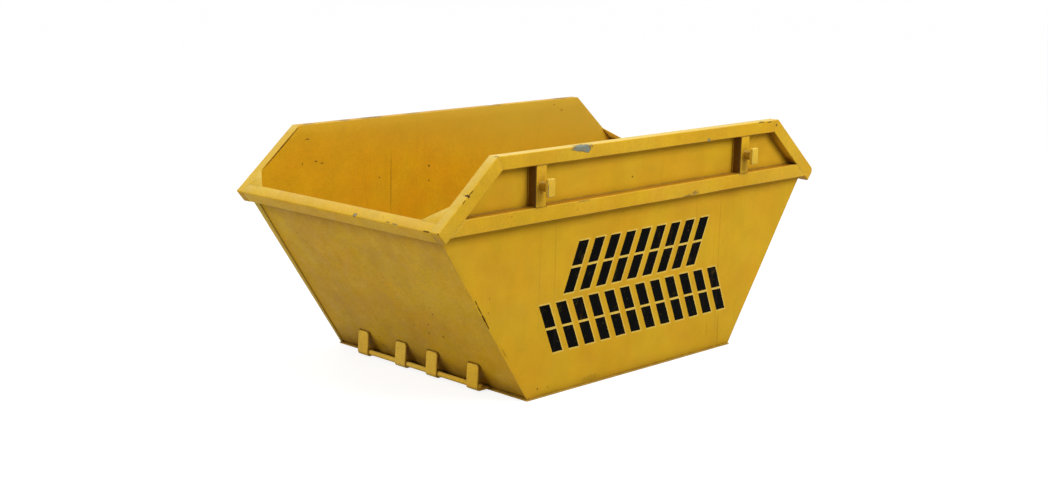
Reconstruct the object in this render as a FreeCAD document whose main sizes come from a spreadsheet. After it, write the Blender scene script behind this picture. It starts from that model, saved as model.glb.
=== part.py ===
# Builders skip: an open steel box with sloping ends, lugs on its sides and a tipping bar at each end.
#
# Millimetres. X runs along the skip, Y across it and Z up, with the origin on the ground under its middle.
# The front end is at -X, the rear end at +X, the near side at -Y and the far side at +Y.
# Every sheet is flat or folded. Each side is cut to an outline with shoulders, and folded channels frame
# its top: a level top rail, a slope rail down each shoulder and a waist rail below. The rim of each end is
# a channel as well, whose top lies in the plane of the shoulders' slope, flush with rails and gussets.
import FreeCAD, Part
import Sketcher
import math
import os

os.makedirs("parts", exist_ok=True)
doc = FreeCAD.newDocument("builders_skip")

# Driving dimensions, one cell each
SIZES = {
    # overall form
    "rim_length": 2680,             # between the tips of the two end rims
    "overall_height": 1128,         # ground to the top of the top rails
    "body_width": 1292,             # over the outer faces of the side plates
    "base_length": 1478,            # between the lower corners of a side plate
    "shoulder_height": 287,         # from the tip of an end rim up to the top of the top rails
    "slope_angle": 40.4,            # of the shoulders, from level
    # sheets
    "floor_thickness": 6,
    "side_thickness": 3,
    "end_thickness": 3,
    "floor_ledge": 5,               # floor plate past the side plates all round
    "lip_at_foot": 12.1,            # side plate past the end plate, along the floor
    "edge_inset": 17.1,             # edge of a side plate, in from the rim's lower fold under the rim
    # folded rails of the sides
    "rail_depth": 49,               # from the side plate out to the face of the rail
    "rail_wall": 3,
    "fold_inside_radius": 2,
    "top_rail_face": 62,
    "slope_rail_face": 68,
    "waist_rail_face": 69,
    "waist_rail_drop": 27,          # from the tips of the rims down to the underside of the waist rails
    "front_tip_inside_radius": 3,   # corner at the lower end of a front slope rail
    "rear_tip_inside_radius": 25,   # the same at the rear, where the corner is dressed round
    # folded rim of the ends
    "rim_wall": 3,
    "rim_top_width": 54,
    "rim_cover": 7.3,               # top leg past the outer face of the end plate that it covers
    "rim_fold_inside_radius": 2,
    # corner gussets
    "gusset_thickness": 4,
    "gusset_along": 92,             # up the slope
    "gusset_across": 96,            # along the rim
    # lifting lugs
    "lug_inset": 271,               # from the corner of the shoulder in to the middle of the lug
    "post_width": 68,
    "post_wall": 5,
    "post_fold_inside_radius": 2,
    "pin_diameter": 42,
    "pin_reach": 44,                # from the face of the post to the head
    "pin_clearance": 0.3,           # round the pin, in the face of the post
    "head_width": 46,
    "head_height": 80,
    "head_thickness": 18,
    "head_corner_radius": 9,
    "head_chamfer": 2,
    # tipping gear at the foot of each end
    "bar_standoff": 75.1,           # from the foot of the end plate out to the middle of the bar
    "bar_diameter": 24,
    "bar_clearance": 0.3,           # between the bar and the inside of a bracket's bend
    "bracket_thickness": 8,
    "bracket_width": 70,
    "bracket_lean": 3,              # of the upright leg, towards the end plate
    "bracket_corner_radius": 14,
    "outer_bracket_spacing": 760,
    "inner_bracket_spacing": 216,
}

sheet = doc.addObject("Spreadsheet::Sheet", "Sizes")
for row, (alias, size) in enumerate(SIZES.items(), start=1):
    sheet.set(f"A{row}", alias)
    sheet.set(f"B{row}", str(size))
    sheet.setAlias(f"B{row}", alias)
doc.recompute()

# Two lengths closer than this are the same, when edges are picked by their place
TOLERANCE = 1e-4

bodies = []
cuts = []


# Expressions for the places that several pieces share. A point is a pair, across and up its sketch.
RIM_TIP_UP = "(Sizes.overall_height - Sizes.shoulder_height)"


def slope_point(run, depth):
    """The point a run up the shoulder's slope from the rim's tip, and a depth square below the slope."""
    angle = "Sizes.slope_angle"
    across = f"Sizes.rim_length / 2 - ({run}) * cos({angle}) - ({depth}) * sin({angle})"
    up = f"{RIM_TIP_UP} + ({run}) * sin({angle}) - ({depth}) * cos({angle})"
    return across, up


def run_to_wall(depth, foot, lean):
    """The run at which a line a depth below the slope meets a wall that leans out from its foot."""
    across, up = slope_point("0", depth)
    overhang = f"({across} - {foot} - ({up} - Sizes.floor_thickness) * tan({lean}))"
    return f"{overhang} / (cos(Sizes.slope_angle) + sin(Sizes.slope_angle) * tan({lean}))"


def slope_point_at_height(height, depth):
    """The point at a height on the line that runs a depth below the shoulder's slope."""
    angle = "Sizes.slope_angle"
    climb = f"(({height}) - {RIM_TIP_UP})"
    across = f"Sizes.rim_length / 2 - {climb} / tan({angle}) - ({depth}) / sin({angle})"
    return across, height


HALF_BODY = "Sizes.body_width / 2"
INSIDE_SIDE = "(Sizes.body_width / 2 - Sizes.side_thickness)"
SLOPE_LENGTH = "(Sizes.shoulder_height / sin(Sizes.slope_angle))"
SHOULDER_CORNER = slope_point(SLOPE_LENGTH, "0")

# An end plate leans from its foot, inside the lips of the sides, out to where the rim's top leg covers it.
# The edges of the sides stand out past it as a lip, and run up from the ends of the floor to the rim.
END_OUTSIDE_FOOT = "(Sizes.base_length / 2 - Sizes.lip_at_foot)"
END_HEAD = slope_point("Sizes.rim_top_width - Sizes.rim_cover", "Sizes.rim_wall")
END_REACH = f"({END_HEAD[0]} - {END_OUTSIDE_FOOT})"
END_LEAN = f"atan({END_REACH} / ({END_HEAD[1]} - Sizes.floor_thickness))"
END_INSIDE_FOOT = f"({END_OUTSIDE_FOOT} - Sizes.end_thickness / cos({END_LEAN}))"
EDGE_FOOT = ("Sizes.base_length / 2", "Sizes.floor_thickness")
EDGE_HEAD = slope_point("Sizes.edge_inset", "Sizes.slope_rail_face")

TOP_RAIL_UNDERSIDE = "(Sizes.overall_height - Sizes.top_rail_face)"
WAIST_RAIL_UNDERSIDE = f"({RIM_TIP_UP} - Sizes.waist_rail_drop)"
WAIST_RAIL_TOP = f"({WAIST_RAIL_UNDERSIDE} + Sizes.waist_rail_face)"
LUG_ACROSS = f"({SHOULDER_CORNER[0]} - Sizes.lug_inset)"
LUG_UP = f"(({WAIST_RAIL_TOP} + {TOP_RAIL_UNDERSIDE}) / 2)"
HEAD_SEAT = "(Sizes.body_width / 2 + Sizes.rail_depth + Sizes.pin_reach)"
RAIL_FOLD_RADIUS = "(Sizes.fold_inside_radius + Sizes.rail_wall)"
RIM_FOLD_RADIUS = "(Sizes.rim_fold_inside_radius + Sizes.rim_wall)"


def side_place(side, reach=HALF_BODY):
    """The place across the skip at a reach from its middle, which is the side plate's face unless named."""
    return f"-({reach})" if side == "near" else reach


def lug_place(end):
    return f"-{LUG_ACROSS}" if end == "front" else LUG_ACROSS


# Tools for sketches and features
def value(expression):
    return float(sheet.evalExpression(expression.replace("Sizes.", "")))


def new_body(label, across="0", along="0", up="0", turned=False):
    """A body whose own origin stands at a place, turned half round for the other end or side."""
    body = doc.addObject("PartDesign::Body", label)
    body.Label = label
    if turned:
        half_turn = FreeCAD.Rotation(FreeCAD.Vector(0, 0, 1), 180)
        body.Placement = FreeCAD.Placement(FreeCAD.Vector(), half_turn)
    for axis, expression in (("x", across), ("y", along), ("z", up)):
        if expression != "0":
            body.setExpression(f".Placement.Base.{axis}", expression)
    bodies.append(body)
    return body


def new_sketch(body, name, role):
    sketch = body.newObject("Sketcher::SketchObject", f"{body.Label}_{name}")
    plane = next(feature for feature in body.Origin.OriginFeatures if feature.Role == role)
    sketch.AttachmentSupport = [(plane, "")]
    sketch.MapMode = "FlatFace"
    return sketch


def pin_vertex(sketch, edge, end, point):
    """Holds one end of an edge at a point, by its distances from the sketch's origin."""
    for kind, expression in zip(("DistanceX", "DistanceY"), point):
        index = sketch.addConstraint(Sketcher.Constraint(kind, -1, 1, edge, end, value(expression)))
        sketch.setExpression(f"Constraints[{index}]", expression)


def polygon(sketch, points):
    """A closed outline of straight edges through the points."""
    places = [FreeCAD.Vector(value(across), value(up), 0) for across, up in points]
    count = len(points)
    for index in range(count):
        sketch.addGeometry(Part.LineSegment(places[index], places[(index + 1) % count]), False)
    for index in range(count):
        sketch.addConstraint(Sketcher.Constraint("Coincident", index, 2, (index + 1) % count, 1))
    for index, point in enumerate(points):
        pin_vertex(sketch, index, 1, point)


def mirrored_polygon(sketch, right_points):
    """A closed outline that is the same on both sides of the sketch's upright axis."""
    count = len(right_points)
    right = [FreeCAD.Vector(value(across), value(up), 0) for across, up in right_points]
    left = [FreeCAD.Vector(-place.x, place.y, 0) for place in reversed(right)]
    places = right + left
    for index in range(2 * count):
        sketch.addGeometry(Part.LineSegment(places[index], places[(index + 1) % (2 * count)]), False)
    for index in range(2 * count):
        sketch.addConstraint(Sketcher.Constraint("Coincident", index, 2, (index + 1) % (2 * count), 1))
    for index, point in enumerate(right_points):
        pin_vertex(sketch, index, 1, point)
        sketch.addConstraint(Sketcher.Constraint("Symmetric", 2 * count - 1 - index, 1, index, 1, -2))


def circle(sketch, centre, diameter):
    radius = value(diameter) / 2
    place = FreeCAD.Vector(value(centre[0]), value(centre[1]), 0)
    index = sketch.addGeometry(Part.Circle(place, FreeCAD.Vector(0, 0, 1), radius), False)
    pin_vertex(sketch, index, 3, centre)
    constraint = sketch.addConstraint(Sketcher.Constraint("Diameter", index, 2 * radius))
    sketch.setExpression(f"Constraints[{constraint}]", diameter)


def pad(body, sketch, length, reverse=False, symmetric=False):
    feature = body.newObject("PartDesign::Pad", f"{sketch.Name}_pad")
    feature.Profile = sketch
    feature.setExpression("Length", length)
    feature.Reversed = reverse
    feature.SideType = "Symmetric" if symmetric else "One side"
    doc.recompute()
    return feature


def pocket(body, sketch, length, reverse=False):
    """Cuts the sketch into the body, and remembers the step so that its volume is compared at the end."""
    before = body.Tip
    feature = body.newObject("PartDesign::Pocket", f"{sketch.Name}_pocket")
    feature.Profile = sketch
    feature.setExpression("Length", length)
    feature.Reversed = reverse
    doc.recompute()
    cuts.append((before, feature))
    return feature


def fillet(body, name, radius, picked):
    """Rounds the picked edges of the body's last feature."""
    base = body.Tip
    names = [f"Edge{index}" for index, edge in enumerate(base.Shape.Edges, start=1) if picked(edge)]
    feature = body.newObject("PartDesign::Fillet", f"{body.Label}_{name}")
    feature.Base = (base, names)
    feature.setExpression("Radius", radius)
    doc.recompute()
    return feature


def edge_picker(direction, **places):
    """A test for straight edges that run in a direction and whose ends have the given places."""
    heading = FreeCAD.Vector(*direction)

    def picked(edge):
        if not isinstance(edge.Curve, Part.Line):
            return False
        if edge.Curve.Direction.cross(heading).Length > TOLERANCE:
            return False
        ends = [vertex.Point for vertex in edge.Vertexes]
        return all(abs(getattr(end, axis) - place) < TOLERANCE
                   for end in ends for axis, place in places.items())

    return picked


def fold_channel(body, direction, outward):
    """Rounds a channel's two folds: outside along its face, and inside along the hollow's floor."""
    face = outward * value("Sizes.rail_depth")
    floor_of_hollow = outward * value("Sizes.rail_depth - Sizes.rail_wall")
    fillet(body, "outer_folds", RAIL_FOLD_RADIUS, edge_picker(direction, y=face))
    fillet(body, "inner_folds", "Sizes.fold_inside_radius", edge_picker(direction, y=floor_of_hollow))


# Floor: one plate, which stands out past the sides and catches their welds
def build_floor():
    body = new_body("floor_plate")
    outline = new_sketch(body, "outline", "XY_Plane")
    half_length = "Sizes.base_length / 2 + Sizes.floor_ledge"
    half_width = f"{HALF_BODY} + Sizes.floor_ledge"
    mirrored_polygon(outline, [(half_length, f"-({half_width})"), (half_length, half_width)])
    pad(body, outline, "Sizes.floor_thickness")


# Sides: upright plates on the floor. Their edges lean outwards past the end plates, turn out under the rim
# to its tip, and follow the shoulders up to the level top. The corners at the rim are round like its folds.
def build_side_plate(side):
    body = new_body(f"side_plate_{side}", along=side_place(side), turned=(side == "far"))
    outline = new_sketch(body, "outline", "XZ_Plane")
    rim_corners = [slope_point("0", "Sizes.slope_rail_face"), slope_point("0", "0")]
    mirrored_polygon(outline, [EDGE_FOOT, EDGE_HEAD, *rim_corners, SHOULDER_CORNER])
    pad(body, outline, "Sizes.side_thickness", reverse=True)
    places = [(flip * value(across), value(up)) for across, up in rim_corners for flip in (1, -1)]
    pickers = [edge_picker((0, 1, 0), x=across, z=up) for across, up in places]
    fillet(body, "rim_corners", RIM_FOLD_RADIUS, lambda edge: any(picker(edge) for picker in pickers))


# Ends: sloping plates between the sides, from the floor up to the underside of the rim's top leg
def build_end_plate(end):
    body = new_body(f"end_plate_{end}", turned=(end == "front"))
    section = new_sketch(body, "section", "XZ_Plane")
    head = "Sizes.rim_wall"
    polygon(section, [
        (END_OUTSIDE_FOOT, "Sizes.floor_thickness"),
        END_HEAD,
        slope_point(run_to_wall(head, END_INSIDE_FOOT, END_LEAN), head),
        (END_INSIDE_FOOT, "Sizes.floor_thickness"),
    ])
    pad(body, section, f"2 * {INSIDE_SIDE}", symmetric=True)


# End rims: a channel folded from one strip. Its top leg covers the edge of the end plate, its face hangs
# square to the slope, as deep as the slope rails, and its bottom leg comes back to the end plate's outside.
def build_end_rim(end):
    body = new_body(f"end_rim_{end}", turned=(end == "front"))
    section = new_sketch(body, "section", "XZ_Plane")
    wall = "Sizes.rim_wall"
    face = "Sizes.slope_rail_face"
    inside_face = f"{face} - {wall}"
    polygon(section, [
        slope_point("0", "0"),
        slope_point("Sizes.rim_top_width", "0"),
        slope_point("Sizes.rim_top_width", wall),
        slope_point(wall, wall),
        slope_point(wall, inside_face),
        slope_point(run_to_wall(inside_face, END_OUTSIDE_FOOT, END_LEAN), inside_face),
        slope_point(run_to_wall(face, END_OUTSIDE_FOOT, END_LEAN), face),
        slope_point("0", face),
    ])
    pad(body, section, f"2 * {INSIDE_SIDE}", symmetric=True)
    outside_folds = [slope_point("0", "0"), slope_point("0", face)]
    inside_folds = [slope_point(wall, wall), slope_point(wall, inside_face)]
    for name, radius, folds in (("outer_folds", RIM_FOLD_RADIUS, outside_folds),
                                ("inner_folds", "Sizes.rim_fold_inside_radius", inside_folds)):
        pickers = [edge_picker((0, 1, 0), x=value(across), z=value(up)) for across, up in folds]
        fillet(body, name, radius, lambda edge: any(picker(edge) for picker in pickers))


# Top rails: level channels, mitred at both ends to meet the slope rails
def build_top_rail(side):
    body = new_body(f"top_rail_{side}", along=side_place(side), turned=(side == "far"))
    outline = new_sketch(body, "outline", "XZ_Plane")
    mitre_foot = slope_point_at_height(TOP_RAIL_UNDERSIDE, "Sizes.slope_rail_face")
    mirrored_polygon(outline, [mitre_foot, SHOULDER_CORNER])
    pad(body, outline, "Sizes.rail_depth")
    hollow = new_sketch(body, "hollow", "XZ_Plane")
    mirrored_polygon(hollow, [
        (SHOULDER_CORNER[0], f"{TOP_RAIL_UNDERSIDE} + Sizes.rail_wall"),
        (SHOULDER_CORNER[0], "Sizes.overall_height - Sizes.rail_wall"),
    ])
    pocket(body, hollow, "Sizes.rail_depth - Sizes.rail_wall", reverse=True)
    fold_channel(body, (1, 0, 0), -1)


# Waist rails: level channels under the windows, cut at both ends to butt against the slope rails
def build_waist_rail(side):
    body = new_body(f"waist_rail_{side}", along=side_place(side), turned=(side == "far"))
    outline = new_sketch(body, "outline", "XZ_Plane")
    foot = slope_point_at_height(WAIST_RAIL_UNDERSIDE, "Sizes.slope_rail_face")
    head = slope_point_at_height(WAIST_RAIL_TOP, "Sizes.slope_rail_face")
    mirrored_polygon(outline, [foot, head])
    pad(body, outline, "Sizes.rail_depth")
    hollow = new_sketch(body, "hollow", "XZ_Plane")
    mirrored_polygon(hollow, [
        (foot[0], f"{WAIST_RAIL_UNDERSIDE} + Sizes.rail_wall"),
        (foot[0], f"{WAIST_RAIL_TOP} - Sizes.rail_wall"),
    ])
    pocket(body, hollow, "Sizes.rail_depth - Sizes.rail_wall", reverse=True)
    fold_channel(body, (1, 0, 0), -1)


# Slope rails: down each shoulder from the mitre to the rim's tip, where the channel's own wall closes it
def build_slope_rail(end, side):
    turned = end == "front"
    outward = -1 if (side == "near") != turned else 1
    body = new_body(f"slope_rail_{end}_{side}", along=side_place(side), turned=turned)
    outline = new_sketch(body, "outline", "XZ_Plane")
    face = "Sizes.slope_rail_face"
    polygon(outline, [
        slope_point("0", "0"),
        slope_point("0", face),
        slope_point_at_height(TOP_RAIL_UNDERSIDE, face),
        SHOULDER_CORNER,
    ])
    pad(body, outline, "Sizes.rail_depth", reverse=(outward > 0))
    hollow = new_sketch(body, "hollow", "XZ_Plane")
    wall = "Sizes.rail_wall"
    polygon(hollow, [
        slope_point(wall, wall),
        slope_point(wall, f"{face} - {wall}"),
        slope_point(SLOPE_LENGTH, f"{face} - {wall}"),
        slope_point(SLOPE_LENGTH, wall),
    ])
    pocket(body, hollow, "Sizes.rail_depth - Sizes.rail_wall", reverse=(outward < 0))
    inside_radius = f"Sizes.{end}_tip_inside_radius"
    for name, radius, corner in (("tip", f"{inside_radius} + {wall}", slope_point("0", "0")),
                                 ("hollow_tip", inside_radius, slope_point(wall, wall))):
        fillet(body, name, radius, edge_picker((0, 1, 0), x=value(corner[0]), z=value(corner[1])))
    slope = FreeCAD.Rotation(FreeCAD.Vector(0, 1, 0), value("Sizes.slope_angle"))
    fold_channel(body, slope.multVec(FreeCAD.Vector(1, 0, 0)), outward)


# Corner gussets: flat triangles in the plane of the slope, between the rim's inner edge and the side plate.
# Each is drawn on the slope itself: across its sketch runs up the slope from the rim's tip.
def build_gusset(end, side):
    across = "-Sizes.rim_length / 2" if end == "front" else "Sizes.rim_length / 2"
    tilt = "-Sizes.slope_angle" if end == "front" else "Sizes.slope_angle - 180"
    body = new_body(f"corner_gusset_{end}_{side}", across=across, up=RIM_TIP_UP)
    about_y = FreeCAD.Rotation(FreeCAD.Vector(0, 1, 0), value("Sizes.slope_angle"))
    body.Placement = FreeCAD.Placement(body.Placement.Base, about_y)
    body.setExpression(".Placement.Rotation.Angle", tilt)
    outline = new_sketch(body, "outline", "XY_Plane")
    sign = "-" if side == "near" else ""
    rim_edge = "Sizes.rim_top_width"
    polygon(outline, [
        (rim_edge, f"{sign}{INSIDE_SIDE}"),
        (f"{rim_edge} + Sizes.gusset_along", f"{sign}{INSIDE_SIDE}"),
        (rim_edge, f"{sign}({INSIDE_SIDE} - Sizes.gusset_across)"),
    ])
    pad(body, outline, "Sizes.gusset_thickness", reverse=(end == "front"))


# Lug posts: upright channels from the waist rail to the top rail, flush with both, holed for the pin
def build_lug_post(end, side):
    body = new_body(f"lug_post_{end}_{side}", across=lug_place(end), along=side_place(side),
                    turned=(side == "far"))
    outline = new_sketch(body, "outline", "XZ_Plane")
    half = "Sizes.post_width / 2"
    mirrored_polygon(outline, [(half, WAIST_RAIL_TOP), (half, TOP_RAIL_UNDERSIDE)])
    pad(body, outline, "Sizes.rail_depth")
    hollow = new_sketch(body, "hollow", "XZ_Plane")
    inner_half = f"{half} - Sizes.post_wall"
    mirrored_polygon(hollow, [(inner_half, WAIST_RAIL_TOP), (inner_half, TOP_RAIL_UNDERSIDE)])
    pocket(body, hollow, "Sizes.rail_depth - Sizes.post_wall", reverse=True)
    face = -value("Sizes.rail_depth")
    hollow_floor = -value("Sizes.rail_depth - Sizes.post_wall")
    fillet(body, "outer_folds", "Sizes.post_fold_inside_radius + Sizes.post_wall",
           edge_picker((0, 0, 1), y=face))
    fillet(body, "inner_folds", "Sizes.post_fold_inside_radius", edge_picker((0, 0, 1), y=hollow_floor))
    bore = new_sketch(body, "bore", "XZ_Plane")
    circle(bore, ("0", LUG_UP), "Sizes.pin_diameter + 2 * Sizes.pin_clearance")
    pocket(body, bore, "Sizes.rail_depth", reverse=True)


# Lug pins: round stubs welded to the side plate inside the post, out through its face
def build_lug_pin(end, side):
    body = new_body(f"lug_pin_{end}_{side}", across=lug_place(end), along=side_place(side),
                    turned=(side == "far"))
    section = new_sketch(body, "section", "XZ_Plane")
    circle(section, ("0", LUG_UP), "Sizes.pin_diameter")
    pad(body, section, "Sizes.rail_depth + Sizes.pin_reach")


# Lug heads: plates across the ends of the pins, with rounded corners and a broken front edge
def build_lug_head(end, side):
    body = new_body(f"lug_head_{end}_{side}", across=lug_place(end), along=side_place(side, HEAD_SEAT),
                    turned=(side == "far"))
    outline = new_sketch(body, "outline", "XZ_Plane")
    half = "Sizes.head_width / 2"
    mirrored_polygon(outline, [
        (half, f"{LUG_UP} - Sizes.head_height / 2"),
        (half, f"{LUG_UP} + Sizes.head_height / 2"),
    ])
    pad(body, outline, "Sizes.head_thickness")
    fillet(body, "corners", "Sizes.head_corner_radius", edge_picker((0, 1, 0)))
    front = -value("Sizes.head_thickness")
    base = body.Tip
    names = [f"Edge{index}" for index, edge in enumerate(base.Shape.Edges, start=1)
             if all(abs(vertex.Y - front) < TOLERANCE for vertex in edge.Vertexes)]
    chamfer = body.newObject("PartDesign::Chamfer", f"{body.Label}_broken_edge")
    chamfer.Base = (base, names)
    chamfer.setExpression("Size", "Sizes.head_chamfer")
    doc.recompute()


# Tipping gear: the bar lies in the bends of four straps. Each strap starts on the floor plate's ledge at
# the foot of the end plate, runs out under the bar, bends up round it and leans back to the end plate.
BAR_ACROSS = f"({END_OUTSIDE_FOOT} + Sizes.bar_standoff)"
BAR_UP = "(Sizes.floor_thickness + Sizes.bracket_thickness + Sizes.bar_clearance + Sizes.bar_diameter / 2)"
BEND_INSIDE = "(Sizes.bar_diameter / 2 + Sizes.bar_clearance)"
BEND_OUTSIDE = f"({BEND_INSIDE} + Sizes.bracket_thickness)"


def build_tip_bar(end):
    body = new_body(f"tip_bar_{end}", turned=(end == "front"))
    section = new_sketch(body, "section", "XZ_Plane")
    circle(section, (BAR_ACROSS, BAR_UP), "Sizes.bar_diameter")
    pad(body, section, "Sizes.outer_bracket_spacing + Sizes.bracket_width", symmetric=True)


def bend_point(radius, leg="0"):
    """The end of the bend at a radius, or the point a length up the leg from there."""
    across = f"{BAR_ACROSS} + {radius} * cos(Sizes.bracket_lean) - ({leg}) * sin(Sizes.bracket_lean)"
    up = f"{BAR_UP} + {radius} * sin(Sizes.bracket_lean) + ({leg}) * cos(Sizes.bracket_lean)"
    return across, up


def build_bracket(end, name, place):
    body = new_body(f"tip_bracket_{end}_{name}", along=place, turned=(end == "front"))
    section = new_sketch(body, "section", "XZ_Plane")
    wall_slope = f"tan({END_LEAN})"
    start_across, start_up = bend_point(BEND_INSIDE)
    wall_reach = f"{END_OUTSIDE_FOOT} + ({start_up} - Sizes.floor_thickness) * {wall_slope}"
    closing = f"(sin(Sizes.bracket_lean) + cos(Sizes.bracket_lean) * {wall_slope})"
    leg = f"({start_across} - ({wall_reach})) / {closing}"
    foot_up = "Sizes.floor_thickness + Sizes.bracket_thickness"
    corners = [
        (BAR_ACROSS, "Sizes.floor_thickness"),
        bend_point(BEND_OUTSIDE),
        bend_point(BEND_OUTSIDE, leg),
        bend_point(BEND_INSIDE, leg),
        bend_point(BEND_INSIDE),
        (BAR_ACROSS, foot_up),
        (f"{END_OUTSIDE_FOOT} + Sizes.bracket_thickness * {wall_slope}", foot_up),
        (END_OUTSIDE_FOOT, "Sizes.floor_thickness"),
    ]
    places = [FreeCAD.Vector(value(across), value(up), 0) for across, up in corners]
    centre = FreeCAD.Vector(value(BAR_ACROSS), value(BAR_UP), 0)
    bends = {0: BEND_OUTSIDE, 4: BEND_INSIDE}
    first_angle = -math.pi / 2
    last_angle = math.radians(value("Sizes.bracket_lean"))
    starts = {}
    for index, start in enumerate(places):
        finish = places[(index + 1) % len(places)]
        if index in bends:
            ring = Part.Circle(centre, FreeCAD.Vector(0, 0, 1), value(bends[index]))
            edge = section.addGeometry(Part.ArcOfCircle(ring, first_angle, last_angle), False)
            radius = section.addConstraint(Sketcher.Constraint("Radius", edge, value(bends[index])))
            section.setExpression(f"Constraints[{radius}]", bends[index])
        else:
            edge = section.addGeometry(Part.LineSegment(start, finish), False)
        # an arc runs anticlockwise, so the inner bend's first point is its end
        starts[index] = (edge, 2, 1) if index == 4 else (edge, 1, 2)
    for index, corner in enumerate(corners):
        edge, start, _ = starts[index]
        last_edge, _, last_end = starts[(index - 1) % len(corners)]
        section.addConstraint(Sketcher.Constraint("Coincident", last_edge, last_end, edge, start))
        pin_vertex(section, edge, start, corner)
    pad(body, section, "Sizes.bracket_width", symmetric=True)
    top = [value(bend_point(radius, leg)[1]) for radius in (BEND_OUTSIDE, BEND_INSIDE)]
    half = value("Sizes.bracket_width / 2")

    def top_corner(edge):
        ends = [vertex.Point for vertex in edge.Vertexes]
        if len(ends) != 2 or any(abs(abs(end.y) - half) > TOLERANCE for end in ends):
            return False
        heights = sorted(end.z for end in ends)
        return all(abs(height - place) < TOLERANCE for height, place in zip(heights, sorted(top)))

    fillet(body, "corners", "Sizes.bracket_corner_radius", top_corner)


build_floor()
for side in ("near", "far"):
    build_side_plate(side)
    build_top_rail(side)
    build_waist_rail(side)
for end in ("front", "rear"):
    build_end_plate(end)
    build_end_rim(end)
    build_tip_bar(end)
    for side, sign in (("near", "-"), ("far", "")):
        build_slope_rail(end, side)
        build_gusset(end, side)
        build_lug_post(end, side)
        build_lug_pin(end, side)
        build_lug_head(end, side)
        build_bracket(end, f"outer_{side}", f"{sign}Sizes.outer_bracket_spacing / 2")
        build_bracket(end, f"inner_{side}", f"{sign}Sizes.inner_bracket_spacing / 2")
doc.recompute()

# Nothing is written unless every feature is sound, every solid is whole and every cut took something away
for item in doc.Objects:
    if {"Invalid", "Error"} & set(item.State):
        raise RuntimeError(f"{item.Label} did not compute: {item.State}")
for before, feature in cuts:
    if not feature.Shape.Volume < before.Shape.Volume:
        raise RuntimeError(f"{feature.Label} cut nothing")
for body in bodies:
    if body.Shape.isNull() or not body.Shape.isValid() or len(body.Shape.Solids) != 1:
        raise RuntimeError(f"{body.Label} is not one valid solid")

for body in bodies:
    body.Shape.exportStep(f"parts/{body.Label}.step")
steel_kg_per_cubic_mm = 7.85e-6
mass = steel_kg_per_cubic_mm * sum(body.Shape.Volume for body in bodies)
print(f"{len(bodies)} pieces, about {mass:.0f} kg of steel")
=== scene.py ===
# %% [markdown]
# # A builders skip in worn yellow paint
# The skip is welded from folded sheet and thick flat bar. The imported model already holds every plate,
# rail, lug and bracket at its real place, so this lesson never moves them. It adds what a workshop and
# some years of use add: ripples in the sheet, rounded edges, weld beads, paint, chips, rust and dirt.

# %% Load the fixed frame
from collections import namedtuple
from math import atan2, cos, pi, radians, sin, tan

import bpy
from mathutils import Matrix, Vector


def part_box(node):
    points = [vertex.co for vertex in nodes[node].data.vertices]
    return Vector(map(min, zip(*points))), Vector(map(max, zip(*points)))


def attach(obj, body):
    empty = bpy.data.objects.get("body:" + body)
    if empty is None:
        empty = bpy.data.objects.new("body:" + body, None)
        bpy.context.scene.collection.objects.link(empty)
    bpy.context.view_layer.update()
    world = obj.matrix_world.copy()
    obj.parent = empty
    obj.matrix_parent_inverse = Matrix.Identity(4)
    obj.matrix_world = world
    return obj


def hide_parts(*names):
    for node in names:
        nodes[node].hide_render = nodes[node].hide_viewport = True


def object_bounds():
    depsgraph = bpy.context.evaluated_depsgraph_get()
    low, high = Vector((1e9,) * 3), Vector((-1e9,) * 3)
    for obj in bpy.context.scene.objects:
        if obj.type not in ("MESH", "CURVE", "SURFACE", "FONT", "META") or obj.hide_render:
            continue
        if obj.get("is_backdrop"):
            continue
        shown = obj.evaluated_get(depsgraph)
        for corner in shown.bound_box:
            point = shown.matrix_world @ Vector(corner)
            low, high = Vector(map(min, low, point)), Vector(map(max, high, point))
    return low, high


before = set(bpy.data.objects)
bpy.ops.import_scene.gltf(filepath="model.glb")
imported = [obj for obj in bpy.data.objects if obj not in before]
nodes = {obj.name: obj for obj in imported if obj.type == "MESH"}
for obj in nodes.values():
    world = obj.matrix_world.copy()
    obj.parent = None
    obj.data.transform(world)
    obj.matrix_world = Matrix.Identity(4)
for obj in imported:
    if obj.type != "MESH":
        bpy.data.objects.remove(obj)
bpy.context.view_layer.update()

MM = 0.001

# %% [markdown]
# ## The camera
# The photograph was taken from a little above the rim, from the near corner of one end. Vertical edges
# stay nearly vertical, so the lens is a mild one. The camera stands about seven and a half metres off.
# The picture was cropped after it was taken, which a small sideways shift of the lens repeats.

# %% Place the camera
CAMERA_PLACE = (-5.504, -5.089, 2.047)
CAMERA_TURN = radians(-41.531)
CAMERA_DIP = radians(12.174)
CAMERA_ROLL = radians(0.263)
CAMERA_LENS = 52.26
CAMERA_SHIFT = (0.130, 0.008)

lens = bpy.data.cameras.new("camera")
lens.sensor_width = 36
lens.lens = CAMERA_LENS
lens.shift_x, lens.shift_y = CAMERA_SHIFT
camera = bpy.data.objects.new("camera", lens)
camera.matrix_world = (
    Matrix.Translation(CAMERA_PLACE)
    @ Matrix.Rotation(CAMERA_TURN, 4, "Z")
    @ Matrix.Rotation(pi / 2 - CAMERA_DIP, 4, "X")
    @ Matrix.Rotation(CAMERA_ROLL, 4, "Z")
)
bpy.context.scene.collection.objects.link(camera)
bpy.context.scene.camera = camera
print("camera at", CAMERA_PLACE)

# %% [markdown]
# ## Small helpers for node trees
# A procedural material is a tree of small nodes. It could be built by hand in the editor, but as code it
# can be built again. These helpers each add one node and hand back its output, so that a longer recipe
# still reads from top to bottom. A node goes into the tree of what is linked to it.

# %% Helpers for nodes


def plug(value, socket):
    """Links an output to a socket, or sets the socket to a plain value."""
    if isinstance(value, bpy.types.NodeSocket):
        socket.id_data.links.new(value, socket)
    else:
        socket.default_value = value


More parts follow.
